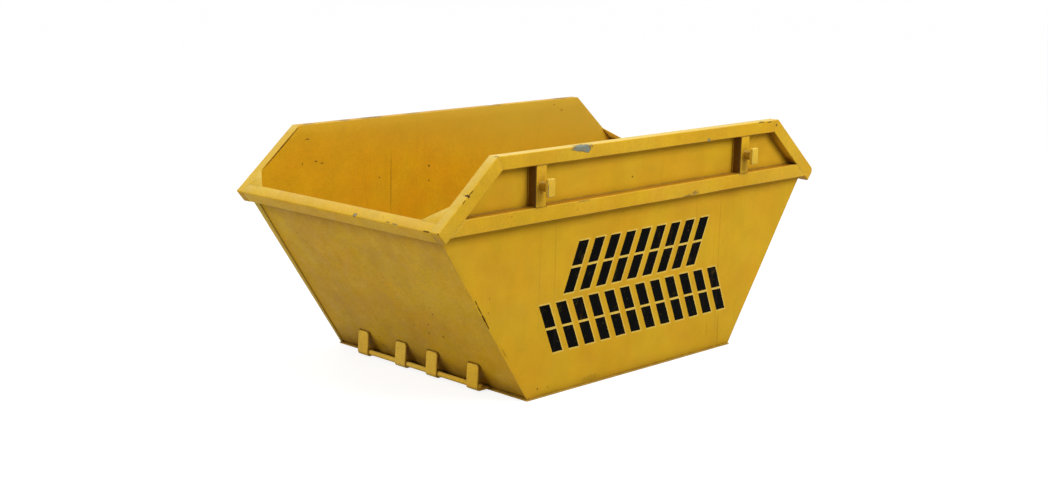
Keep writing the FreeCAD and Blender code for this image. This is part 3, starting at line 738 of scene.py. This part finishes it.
# Painted shade: the pins are painted darker than the lugs
pin_paint = paint_material(
    "pin_paint", WELD_YELLOW, YELLOW, 0.0, specks=0.3, soil_and_shade=0.5, crease=0.5, edge_width=3 * MM
)
# Painted shade: the flanks of the lug posts are painted dark
lug_shade_paint = paint_material(
    "lug_shade_paint", DARK_YELLOW, SHADED_YELLOW, 0.05, soil_and_shade=1.0, crease=1.0, edge_width=3 * MM
)
# Painted light: the lug heads are painted paler, with a strong painted highlight on their edges
head_paint = paint_material(
    "head_paint", PALE_YELLOW, BRIGHT_YELLOW, 0.05, wear=1.1, specks=1.0, soil_and_shade=0.2, rub_and_highlight=1.0,
    edge_width=3 * MM,
)
# Painted light: the tipping gear is painted lighter than the walls, as it stands in shade
gear_paint = paint_material(
    "gear_paint", GEAR_YELLOW, BRIGHT_YELLOW, 0.06, wear=1.2, specks=1.0, soil_and_shade=0.5, rub_and_highlight=1.0,
)
weld_paint = paint_material(
    "weld_paint", WELD_YELLOW, WELD_YELLOW, 0.0, wear=0.5, soil_and_shade=0.9, rub_and_highlight=0.05, edge_width=1 * MM
)
print(len(bpy.data.materials), "materials")

# %% [markdown]
# ## From a model piece to worked sheet
# Every plate and rail of the model is exact and flat. Real ones are sheared, folded and welded, so their
# edges are broken and the flats wander by a millimetre or two. A piece could be built anew, but then it
# might not fit. So each one starts as a copy of the model's own mesh. The copy's triangles are merged
# into clean faces, cut into short lengths that can bend, bevelled, and then bent by one shared wave.
# All pieces bend by the same wave, so that no seam opens.

# %% Helpers for selecting and copying
SAME_POINT = 0.01 * MM
SAME_FACE = radians(0.5)


def alone(piece):
    """Selects one piece and nothing else."""
    if bpy.context.object and bpy.context.object.mode != "OBJECT":
        bpy.ops.object.mode_set(mode="OBJECT")
    bpy.ops.object.select_all(action="DESELECT")
    piece.select_set(True)
    bpy.context.view_layer.objects.active = piece


def edit(piece, select="SELECT"):
    """Opens one piece in edit mode, with all of it selected or nothing."""
    alone(piece)
    bpy.ops.object.mode_set(mode="EDIT")
    bpy.ops.mesh.select_mode(type="VERT")
    bpy.ops.mesh.select_all(action=select)


def done():
    bpy.ops.object.mode_set(mode="OBJECT")


def edit_points(piece, test):
    """Opens one piece in edit mode with just those points selected that a test finds."""
    edit(piece, "DESELECT")
    done()
    for v in piece.data.vertices:
        v.select = test(v.co)
    bpy.ops.object.mode_set(mode="EDIT")


def copy_of(node, name):
    """A new piece from a model piece's mesh, with its triangles merged into whole faces."""
    piece = bpy.data.objects.new(name, nodes[node].data.copy())
    bpy.context.scene.collection.objects.link(piece)
    piece.data.materials.clear()
    alone(piece)
    bpy.ops.mesh.customdata_custom_splitnormals_clear()
    edit(piece)
    bpy.ops.mesh.remove_doubles(threshold=SAME_POINT)
    bpy.ops.mesh.dissolve_limited(angle_limit=SAME_FACE)
    done()
    return piece


# %% [markdown]
# ## Cutting, breaking and bending
# A flat face can't bend, so a piece is first cut by planes into a net. A Bevel modifier then breaks its
# edges, and a Displace modifier with a cloud texture bends it. Each modifier is applied at once, so that
# the next one works on a real mesh.

# %% Helpers for cutting, breaking and bending
NET_STEP = 55 * MM
EDGE_BREAK = 0.6 * MM
SHARP_OVER = radians(40)
SMOOTH_UNDER = radians(32)
WAVE_LENGTH = 0.42
WAVE_HEIGHT = 4 * MM

wave = bpy.data.textures.new("plate_wave", "CLOUDS")
wave.noise_scale = WAVE_LENGTH
wave.noise_depth = 1


def steps(low, high, size=NET_STEP):
    """Evenly spaced places between two ends, without the ends."""
    count = max(1, round((high - low) / size))
    return [low + (high - low) * i / count for i in range(1, count)]


def slice_across(piece, direction, places):
    """Cuts a whole piece by planes square to a direction, at these distances from the origin."""
    direction = Vector(direction).normalized()
    edit(piece)
    for place in places:
        bpy.ops.mesh.select_all(action="SELECT")
        bpy.ops.mesh.bisect(plane_co=direction * place, plane_no=direction)
    done()


def apply(piece, modifier):
    alone(piece)
    bpy.ops.object.modifier_apply(modifier=modifier.name)


def apply_transform(piece):
    alone(piece)
    bpy.ops.object.transform_apply(location=True, rotation=True, scale=True)


def break_edges(piece, width=EDGE_BREAK, segments=2):
    bevel = piece.modifiers.new("broken_edges", "BEVEL")
    bevel.width = width
    bevel.segments = segments
    bevel.limit_method = "ANGLE"
    bevel.angle_limit = SHARP_OVER
    bevel.use_clamp_overlap = False
    apply(piece, bevel)


def bend(piece, direction="Y", height=WAVE_HEIGHT, texture=wave, group=""):
    """Moves a piece's points to and fro along one axis by the shared wave."""
    swell = piece.modifiers.new("wave", "DISPLACE")
    swell.texture = texture
    swell.texture_coords = "LOCAL"
    swell.direction = direction
    swell.strength = height
    swell.mid_level = 0.5
    swell.vertex_group = group
    apply(piece, swell)


def smooth(piece):
    alone(piece)
    bpy.ops.object.shade_smooth_by_angle(angle=SMOOTH_UNDER)


# %% [markdown]
# ## Knocks, paint and the frame
# A knock is pushed in by proportional editing, as by hand: one point moves, and those round it follow.
# Paints are chosen face by face, by where a face looks. Last, each piece is hung on the body it rides
# on, and the model pieces that it stands for are hidden.

# %% Helpers for knocks, paint and the frame
UP, DOWN = (0, 0, 1), (0, 0, -1)


def press(piece, place, push, reach):
    """A knock: the points nearest to a place are pushed, and what is round them follows softly."""
    place = Vector(place)
    near = min((v.co - place).length for v in piece.data.vertices)
    edit_points(piece, lambda point: (point - place).length < near + 1 * MM)
    bpy.ops.transform.translate(
        value=push, use_proportional_edit=True, proportional_edit_falloff="SMOOTH", proportional_size=reach
    )
    done()


def settle(piece, slot, *stands_for):
    """Every finished piece rides on the one body and hides what it stands for. Its slot is not used."""
    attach(piece, "root")
    if stands_for:
        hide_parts(*stands_for)


def facing(direction, least=0.5):
    """A test for faces: whether one looks that way."""
    direction = Vector(direction)
    return lambda face: face.normal.dot(direction) > least


def paint(piece, finish, others=()):
    """One paint all over, then others on the faces that their tests find."""
    piece.data.materials.append(finish)
    for index, (other, test) in enumerate(others, start=1):
        piece.data.materials.append(other)
        for face in piece.data.polygons:
            if test(face):
                face.material_index = index


# %% [markdown]
# ## The side sheets
# Each side is one thin sheet, cut to six corners. It carries all the rails, so it is the piece whose
# wander shows most. It is cut into a net before it bends. Two upright lines in it, where the sheet was
# joined from three widths, stand out by less than a millimetre. The outer face has the outdoor paint
# and the inner face the deeper paint of the hold. A cut along the slope of each end sheet parts the hold
# from the narrow lip outside it. The lip stands in shade and is painted pale: painted light.

# %% Side sheets
JOINT_PLACES = (-0.575, 0.622)
JOINT_HALF_WIDTH = 14 * MM
JOINT_HEIGHT = 0.9 * MM
JOINT_FOOT = 0.05
side_low, side_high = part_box("side_plate_near")
waist_low, waist_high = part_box("waist_rail_near")
end_low, end_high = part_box("end_plate_rear")
END_WALL = 3.6 * MM
END_NORMAL = Vector((end_high.z - end_low.z, 0, end_low.x + END_WALL - end_high.x)).normalized()
END_REACH = Vector((end_high.x, 0, end_high.z)).dot(END_NORMAL) - 1 * MM


def past_end(face):
    """Whether a face of a side sheet lies outside the end sheets, where it shows as a lip."""
    return Vector((abs(face.center.x), 0, face.center.z)).dot(END_NORMAL) > END_REACH


def on_joint(point):
    """Whether a point of a side sheet lies on one of its two joint lines, below the waist rail."""
    in_height = JOINT_FOOT < point.z < waist_low.z
    return in_height and any(abs(point.x - j) < 0.1 * MM for j in JOINT_PLACES)


for side, sign in (("near", -1), ("far", 1)):
    sheet = copy_of("side_plate_" + side, f"side_sheet_{side}")
    joints = [j + k * JOINT_HALF_WIDTH for j in JOINT_PLACES for k in (-1, 0, 1)]
    slice_across(sheet, (1, 0, 0), sorted(steps(side_low.x, side_high.x) + joints))
    slice_across(sheet, (0, 0, 1), steps(side_low.z, side_high.z))
    for end in (-1, 1):
        slice_across(sheet, (end * END_NORMAL.x, 0, END_NORMAL.z), [END_REACH])
    edit_points(sheet, on_joint)
    bpy.ops.transform.translate(value=(0, sign * JOINT_HEIGHT, 0))
    done()
    break_edges(sheet)
    bend(sheet)
    smooth(sheet)
    outer = near_paint if side == "near" else panel_paint
    inner = facing((0, -sign, 0))
    # The lips get the paler paint: painted light
    lip = (lightened_paint, lambda face: inner(face) and past_end(face))
    paint(sheet, outer, [(hold_paint, inner), lip])
    settle(sheet, "shell", "side_plate_" + side)
    print(sheet.name, len(sheet.data.polygons), "faces")

# %% [markdown]
# ## The end sheets and the floor
# The end sheets lean outwards. Loads slide down them when the skip is tipped, so besides the shared wave
# they have shallow hollows of their own, which fade out towards the welded edges.

# %% End sheets and floor
HOLLOW_LENGTH = 0.22
HOLLOW_DEPTH = 5 * MM
CALM_REACH = 0.16
hollow = bpy.data.textures.new("load_hollows", "CLOUDS")
hollow.noise_scale = HOLLOW_LENGTH
hollow.noise_depth = 0


def free_middle(piece, low, high):
    """A vertex group that is 1 in the middle of a sheet and 0 along its edges."""
    group = piece.vertex_groups.new(name="free_middle")
    for v in piece.data.vertices:
        room = min(v.co.y - low.y, high.y - v.co.y, v.co.z - low.z - CALM_REACH / 2, high.z - v.co.z)
        share = min(max(room / CALM_REACH, 0), 1)
        group.add([v.index], share * share * (3 - 2 * share), "REPLACE")
    return group.name


for end, sign in (("front", -1), ("rear", 1)):
    node = "end_plate_" + end
    low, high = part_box(node)
    sheet = copy_of(node, f"end_sheet_{end}")
    slice_across(sheet, (0, 1, 0), steps(low.y, high.y))
    slice_across(sheet, (0, 0, 1), steps(low.z, high.z))
    break_edges(sheet, 0.4 * MM, 1)
    bend(sheet, "X", HOLLOW_DEPTH, hollow, free_middle(sheet, low, high))
    bend(sheet)
    smooth(sheet)
    paint(sheet, end_paint, [(hold_paint, facing((-sign, 0, 0)))])
    settle(sheet, "shell", node)
    print(sheet.name, len(sheet.data.polygons), "faces")

low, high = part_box("floor_plate")
floor_sheet = copy_of("floor_plate", "floor_sheet")
slice_across(floor_sheet, (1, 0, 0), steps(low.x, high.x))
slice_across(floor_sheet, (0, 1, 0), steps(low.y, high.y))
break_edges(floor_sheet, 1 * MM)
bend(floor_sheet)
smooth(floor_sheet)
paint(floor_sheet, panel_paint, [(hold_floor_paint, facing(UP))])
settle(floor_sheet, "shell", "floor_plate")

# %% [markdown]
# ## Rails and rims
# The rails are channels folded from thicker sheet, and stiff, so they get only the shared wave. Their cut
# ends are broken, which leaves the fine groove that shows at each mitre. Knocks from chains and loader
# buckets have dented a few edges, most of them where the paint is gone too. Undersides get a darker paint:
# painted shade, with dirt. The undersides of the end rims get a paler paint: painted light. The upper
# faces of the waist rails and of the far top rail are dirty shelves.

# %% Rails and rims
KNOCKS = {
    "top_rail_near": (((-0.478, -0.695, 1.125), (0.0, 1.6 * MM, -2.2 * MM), 0.050),),
    "slope_rail_front_near": (
        ((-1.168, -0.695, 0.985), (0.8 * MM, 1.2 * MM, -1.5 * MM), 0.030),
        ((-1.235, -0.690, 0.930), (0.8 * MM, 0.6 * MM, -1.2 * MM), 0.030),
    ),
    "end_rim_front": (
        ((-1.336, -0.164, 0.843), (2.0 * MM, 0.0, -1.2 * MM), 0.026),
        ((-1.338, -0.413, 0.841), (1.8 * MM, 0.0, -0.6 * MM), 0.030),
        ((-1.330, 0.300, 0.835), (1.2 * MM, 0.0, 0.4 * MM), 0.040),
    ),
    "end_rim_rear": (((1.337, 0.210, 0.842), (-1.8 * MM, 0.0, -1.0 * MM), 0.035),),
    "top_rail_far": (((0.350, 0.695, 1.122), (0.0, -1.5 * MM, -1.5 * MM), 0.045),),
    "slope_rail_rear_near": (((1.160, -0.695, 0.925), (0.0, 1.5 * MM, 2.0 * MM), 0.030),),
}
KNOCK_NET = (-0.75, -0.5, -0.25, 0.0, 0.25, 0.5, 0.75)
RAIL_SHELVES = {
    "waist_rail_near": shelf_paint,
    "waist_rail_far": shelf_paint,
    "top_rail_far": far_top_paint,
}


def under_rim(face):
    """Whether a face of an end rim looks down and towards the hold."""
    return face.normal.z < -0.3 and face.normal.x * face.center.x < 0


def dress_rail(node, direction, net=NET_STEP):
    """Copies a rail, cuts it square to its length, knocks it, breaks its edges and bends it."""
    rail = copy_of(node, node.replace("_rail", "_rail_worn").replace("_rim", "_rim_worn"))
    direction = Vector(direction).normalized()
    spans = [v.co.dot(direction) for v in rail.data.vertices]
    places = steps(min(spans), max(spans), net)
    for place, _, reach in KNOCKS.get(node, ()):
        places += [Vector(place).dot(direction) + share * reach for share in KNOCK_NET]
    inside = [p for p in sorted(places) if min(spans) + 2 * MM < p < max(spans) - 2 * MM]
    slice_across(rail, direction, inside)
    for place, push, reach in KNOCKS.get(node, ()):
        press(rail, place, push, reach)
    break_edges(rail)
    bend(rail)
    smooth(rail)
    if "rim" in node:
        # Rim undersides get the paler paint: painted light
        paint(rail, rim_paint, [(lightened_paint, under_rim)])
    else:
        # Undersides: painted shade
        others = [(rail_shade_paint, facing(DOWN, 0.3))]
        if node in RAIL_SHELVES:
            others.append((RAIL_SHELVES[node], facing(UP, 0.9)))
        paint(rail, rail_paint, others)
    settle(rail, "rails", node)
    return rail


rails = []
for side in ("near", "far"):
    rails += [dress_rail(kind + side, (1, 0, 0)) for kind in ("top_rail_", "waist_rail_")]
    for end, sign in (("front", 1), ("rear", -1)):
        rails.append(dress_rail(f"slope_rail_{end}_{side}", (cos(SLOPE), 0, sign * sin(SLOPE))))
for end in ("front", "rear"):
    rails.append(dress_rail("end_rim_" + end, (0, 1, 0)))
print(len(rails), "rails,", sum(len(r.data.polygons) for r in rails), "faces")

# %% [markdown]
# ## Gussets, posts, lugs and tipping gear
# The small pieces are thick and keep their shape. They get broken edges, as a grinder leaves them, and the
# shared wave so that they stay on what carries them. Pins and heads are the skip's outermost pieces and
# stay exactly where they are.

# %% Small pieces
SMALL = (
    ("corner_gusset", "rails", gusset_paint, 0.5 * MM, True),
    ("lug_post", "rails", lug_paint, 0.7 * MM, True),
    ("lug_pin", "lugs", pin_paint, 0.7 * MM, False),
    ("lug_head", "lugs", head_paint, 2.5 * MM, False),
    ("tip_bracket", "tipping_gear", gear_paint, 1.1 * MM, True),
    ("tip_bar", "tipping_gear", gear_paint, 1.5 * MM, True),
)
OTHER_PAINTS = {
    # Gusset undersides get the paler paint: painted light
    "corner_gusset": [(lightened_paint, facing(DOWN, 0.3))],
    # Post flanks: painted shade
    "lug_post": [(lug_shade_paint, lambda face: abs(face.normal.x) > 0.5)],
}
small = []
for kind, slot_name, finish, width, bends in SMALL:
    for node in sorted(n for n in nodes if n.startswith(kind)):
        piece = copy_of(node, node.replace(kind, kind + "_worn"))
        if kind == "tip_bar":
            low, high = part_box(node)
            slice_across(piece, (0, 1, 0), steps(low.y, high.y, 80 * MM))
        break_edges(piece, width)
        if bends:
            bend(piece)
        smooth(piece)
        paint(piece, finish, OTHER_PAINTS.get(kind, ()))
        settle(piece, slot_name, node)
        small.append(piece)
print(len(small), "small pieces,", sum(len(p.data.polygons) for p in small), "faces")

# %% [markdown]
# ## Weld beads
# Every joint on a skip is a fillet weld: a rippled bead laid in the corner. One ripple is modelled from a
# short ring that swells in the middle. An array repeats it to the length of a seam, a slight wave keeps it
# from looking machined, and the bead is turned into its corner. Beads of one group are joined, so that
# each group is one piece.

# %% One ripple, and a seam made of it
BEAD = 3.6 * MM
RIPPLE = 6.0 * MM
BEAD_SIDES = 8
SWELL = 1.22
UNEVEN = 1.6 * MM

lump = bpy.data.textures.new("bead_lumps", "CLOUDS")
lump.noise_scale = 18 * MM
lump.noise_depth = 1


def make_ripple():
    bpy.ops.object.select_all(action="DESELECT")
    bpy.ops.mesh.primitive_cylinder_add(
        vertices=BEAD_SIDES, radius=1.0, depth=1.0, end_fill_type="NOTHING", rotation=(0, pi / 2, 0)
    )
    ripple = bpy.context.object
    ripple.name = "ripple"
    apply_transform(ripple)
    edit(ripple)
    bpy.ops.mesh.bisect(plane_co=(0, 0, 0), plane_no=(1, 0, 0))
    bpy.ops.transform.resize(value=(1, SWELL, SWELL))
    done()
    return ripple


ripple = make_ripple()


def seam(start, end, radius=BEAD):
    """A bead from one point to another."""
    start, end = Vector(start), Vector(end)
    count = max(2, round((end - start).length / RIPPLE))
    bead = bpy.data.objects.new("bead", ripple.data.copy())
    bpy.context.scene.collection.objects.link(bead)
    row = bead.modifiers.new("row", "ARRAY")
    row.count = count
    row.use_merge_vertices = True
    row.merge_threshold = 0.01
    apply(bead, row)
    edit(bead)
    bpy.ops.mesh.fill_holes(sides=BEAD_SIDES)
    done()
    span = (end - start).length / count
    along = (end - start).to_track_quat("X", "Z").to_matrix().to_4x4()
    bead.matrix_world = Matrix.Translation(start) @ along @ Matrix.Diagonal((span, radius, radius, 1))
    apply_transform(bead)
    return bead


def lay(name, seams, slot_name, finish=weld_paint, wavy=True, lumps=UNEVEN):
    """Joins the beads of one group into one piece."""
    bpy.ops.object.select_all(action="DESELECT")
    for bead in seams:
        bead.select_set(True)
    bpy.context.view_layer.objects.active = seams[0]
    bpy.ops.object.join()
    group = bpy.context.object
    group.name = name
    uneven = group.modifiers.new("uneven", "DISPLACE")
    uneven.texture = lump
    uneven.texture_coords = "LOCAL"
    uneven.strength = lumps
    uneven.mid_level = 0.5
    apply(group, uneven)
    if wavy:
        bend(group)
    edit(group)
    bpy.ops.mesh.normals_make_consistent(inside=False)
    done()
    smooth(group)
    paint(group, finish)
    settle(group, slot_name)
    print(name, len(group.data.polygons), "faces")


# %% [markdown]
# ## Where the seams run
# All places follow from the boxes of the model's pieces. They are read on the near side or the rear end
# and mirrored. A bead's middle stands a little off the sheet, so that most of the bead shows.

# %% Places that the seams share
top_low, top_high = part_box("top_rail_near")
post_low, post_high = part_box("lug_post_rear_near")
rim_low, rim_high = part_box("end_rim_rear")
wall_outside, wall_inside, rail_face = -side_low.y, -side_high.y, -top_low.y
corner_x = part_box("slope_rail_rear_near")[0].x
waist_reach = corner_x + (top_low.z - waist_high.z) / tan(SLOPE)
SIDES = (-1, 1)
TUCK = 2.6 * MM
out_y = wall_outside + TUCK
in_y = wall_inside - TUCK


def end_outside(height):
    """How far out the outer face of an end sheet is at a height."""
    run, rise = end_high.x - end_low.x - END_WALL, end_high.z - end_low.z
    return end_low.x + END_WALL + (height - end_low.z) * run / rise


print(f"wall from {wall_inside:.4f} to {wall_outside:.4f} m, rail face at {rail_face:.4f} m")

# %% [markdown]
# ## Seams of the rails and posts
# Full beads run round each window, where the rails and posts meet the side sheet. Where rail meets rail,
# the bead is ground almost flush and painted over.

# %% Seams of the rails and posts
FLUSH_BEAD = 1.7 * MM
FLUSH_LUMPS = 0.4 * MM
POST_BEAD = 2.4 * MM
spans = ((-corner_x, -post_high.x), (-post_low.x, post_low.x), (post_high.x, corner_x))
waist_spans = ((-waist_reach, -post_high.x), (-post_low.x, post_low.x), (post_high.x, waist_reach))
rail_seams, flush_seams, post_seams = [], [], []
for side in SIDES:
    y = side * out_y
    rail_seams += [seam((a, y, top_low.z), (b, y, top_low.z)) for a, b in spans]
    rail_seams += [seam((a, y, waist_high.z), (b, y, waist_high.z)) for a, b in waist_spans]
    rail_seams.append(seam((-waist_high.x, y, waist_low.z), (waist_high.x, y, waist_low.z)))
    for end in SIDES:
        rail_seams.append(seam((end * corner_x, y, top_low.z), (end * waist_reach, y, waist_high.z)))
lay("welds_rails", rail_seams, "rails")

for side in SIDES:
    y = side * (rail_face - 1.0 * MM)
    for end in SIDES:
        waist_foot = (end * waist_high.x, y, waist_low.z)
        flush_seams.append(seam((end * waist_reach, y, waist_high.z), waist_foot, FLUSH_BEAD))
        mitre_head = (end * (top_high.x - 2 * MM), y, top_high.z - 7 * MM)
        flush_seams.append(seam(mitre_head, (end * corner_x, y, top_low.z), FLUSH_BEAD))
lay("welds_rail_joints", flush_seams, "rails", rail_paint, lumps=FLUSH_LUMPS)

for side in SIDES:
    y, rail_y, face_y = (side * reach for reach in (out_y, rail_face - 3 * MM, rail_face - 1.5 * MM))
    for end in SIDES:
        for x in (end * post_low.x, end * post_high.x):
            post_seams.append(seam((x, y, waist_high.z), (x, y, top_low.z)))
            for z in (waist_high.z, top_low.z):
                post_seams.append(seam((x, y, z), (x, rail_y, z)))
        for z in (waist_high.z, top_low.z):
            ends = (end * post_low.x, face_y, z), (end * post_high.x, face_y, z)
            post_seams.append(seam(*ends, POST_BEAD))
lay("welds_posts", post_seams, "rails")

# %% [markdown]
# ## Seams of the ends and the floor
# Each end sheet is welded to both sides, inside and outside, and to the rim above it. The floor is
# welded all round, along its outer edge and in the corners of the hold.

# %% Seams of the ends and the floor
END_BEAD = 3.2 * MM
UNDER_RIM_BEAD = 4.4 * MM
EDGE_BEAD = 2.4 * MM
end_seams, rim_seams, floor_seams = [], [], []
foot, head, top = end_low.z, rim_low.z + 20 * MM, end_high.z - 4 * MM
for end in SIDES:
    for y in (-in_y, in_y):
        foot_x, head_x = end * end_outside(foot), end * end_outside(head)
        end_seams.append(seam((foot_x, y, foot), (head_x, y, head), END_BEAD))
        foot_x, top_x = (end * (end_outside(z) - END_WALL - TUCK) for z in (foot, top))
        end_seams.append(seam((foot_x, y, foot), (top_x, y, top)))
    leg_x = end * (end_outside(head) + 1 * MM)
    rim_seams.append(seam((leg_x, -in_y, head), (leg_x, in_y, head), UNDER_RIM_BEAD))
    lip_x, lip_z = end * (end_high.x - END_WALL - 1 * MM), end_high.z - 2 * MM
    rim_seams.append(seam((lip_x, -in_y, lip_z), (lip_x, in_y, lip_z)))
lay("welds_ends", end_seams, "shell")
lay("welds_rims", rim_seams, "shell")

reach, z = end_outside(foot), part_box("floor_plate")[1].z
for side in SIDES:
    y = side * (wall_outside + 1.6 * MM)
    floor_seams.append(seam((-reach, y, z), (reach, y, z), EDGE_BEAD))
    x, y = reach - END_WALL, side * in_y
    floor_seams.append(seam((-x, y, z), (x, y, z)))
for end in SIDES:
    for x in (end * (reach - END_WALL - TUCK), end * (reach + 1 * MM)):
        floor_seams.append(seam((x, -in_y, z), (x, in_y, z)))
lay("welds_floor", floor_seams, "shell")

# %% [markdown]
# ## Seams of the brackets and gussets
# A bracket is welded to the end sheet along its top and a little way down both sides, a gusset along
# the two edges that meet in the corner.

# %% Seams of the brackets and gussets
BRACKET_TOP_BEAD = 3.4 * MM
BRACKET_SIDE_BEAD = 2.8 * MM
BRACKET_SIDE_RUN = 16 * MM
GUSSET_BEAD = 1.6 * MM
bracket_seams, gusset_seams = [], []
for node in sorted(n for n in nodes if n.startswith("tip_bracket")):
    low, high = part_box(node)
    end = 1 if low.x > 0 else -1
    top, foot = high.z, high.z - BRACKET_SIDE_RUN
    top_x, foot_x = (end * (end_outside(z) + 4 * MM) for z in (top, foot))
    bracket_seams.append(seam((top_x, low.y, top), (top_x, high.y, top), BRACKET_TOP_BEAD))
    for y in (low.y, high.y):
        bracket_seams.append(seam((foot_x, y, foot), (top_x, y, top), BRACKET_SIDE_BEAD))
lay("welds_brackets", bracket_seams, "tipping_gear")

low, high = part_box("corner_gusset_rear_near")
rim_z, peak_z = rim_high.z - 0.5 * MM, high.z - 0.5 * MM
for end in SIDES:
    for side in SIDES:
        corner = (end * high.x, side * -low.y, rim_z)
        gusset_seams.append(seam(corner, (end * high.x, side * -high.y, rim_z), GUSSET_BEAD))
        gusset_seams.append(seam(corner, (end * low.x, side * -low.y, peak_z), GUSSET_BEAD))
lay("welds_gussets", gusset_seams, "rails", gusset_paint)

# %% [markdown]
# ## Ring welds on the lugs
# A pin is welded all round, to the post where it comes out and to the head that it carries. Each ring is a
# torus whose every second section is shrunk, which gives the same ripple as a straight bead.

# %% Ring welds
RING_STEPS = 48
RING_RIPPLE = 0.25
HEAD_BEAD = 2.8 * MM


def ring(centre, radius, bead=BEAD):
    """A rippled ring round a pin that points along Y."""
    bpy.ops.object.select_all(action="DESELECT")
    bpy.ops.mesh.primitive_torus_add(
        major_radius=radius, minor_radius=bead, major_segments=RING_STEPS, minor_segments=BEAD_SIDES,
        location=centre, rotation=(pi / 2, 0, 0),
    )
    loop, loop_middle = bpy.context.object, Vector(centre)
    apply_transform(loop)

    def on_even_section(point):
        angle = atan2(point.z - loop_middle.z, point.x - loop_middle.x)
        return round(angle / (2 * pi / RING_STEPS)) % 2 == 0

    edit_points(loop, on_even_section)
    bpy.ops.transform.shrink_fatten(value=-RING_RIPPLE * bead)
    done()
    return loop


rings = []
for node in sorted(n for n in nodes if n.startswith("lug_pin")):
    low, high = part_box(node)
    side = 1 if low.y > 0 else -1
    middle = (low + high) / 2
    radius = (high.x - low.x) / 2
    rings.append(ring((middle.x, side * rail_face, middle.z), radius))
    head_back = min(abs(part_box(node.replace("pin", "head"))[i].y) for i in (0, 1))
    rings.append(ring((middle.x, side * head_back, middle.z), radius, HEAD_BEAD))
lay("welds_lugs", rings, "lugs", lug_paint, wavy=False)
bpy.data.objects.remove(ripple)

# %% [markdown]
# ## Measure and finish
# The worked pieces have to fit in the model's own box. The box of all that is shown is measured.

# %% Measure and finish
low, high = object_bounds()
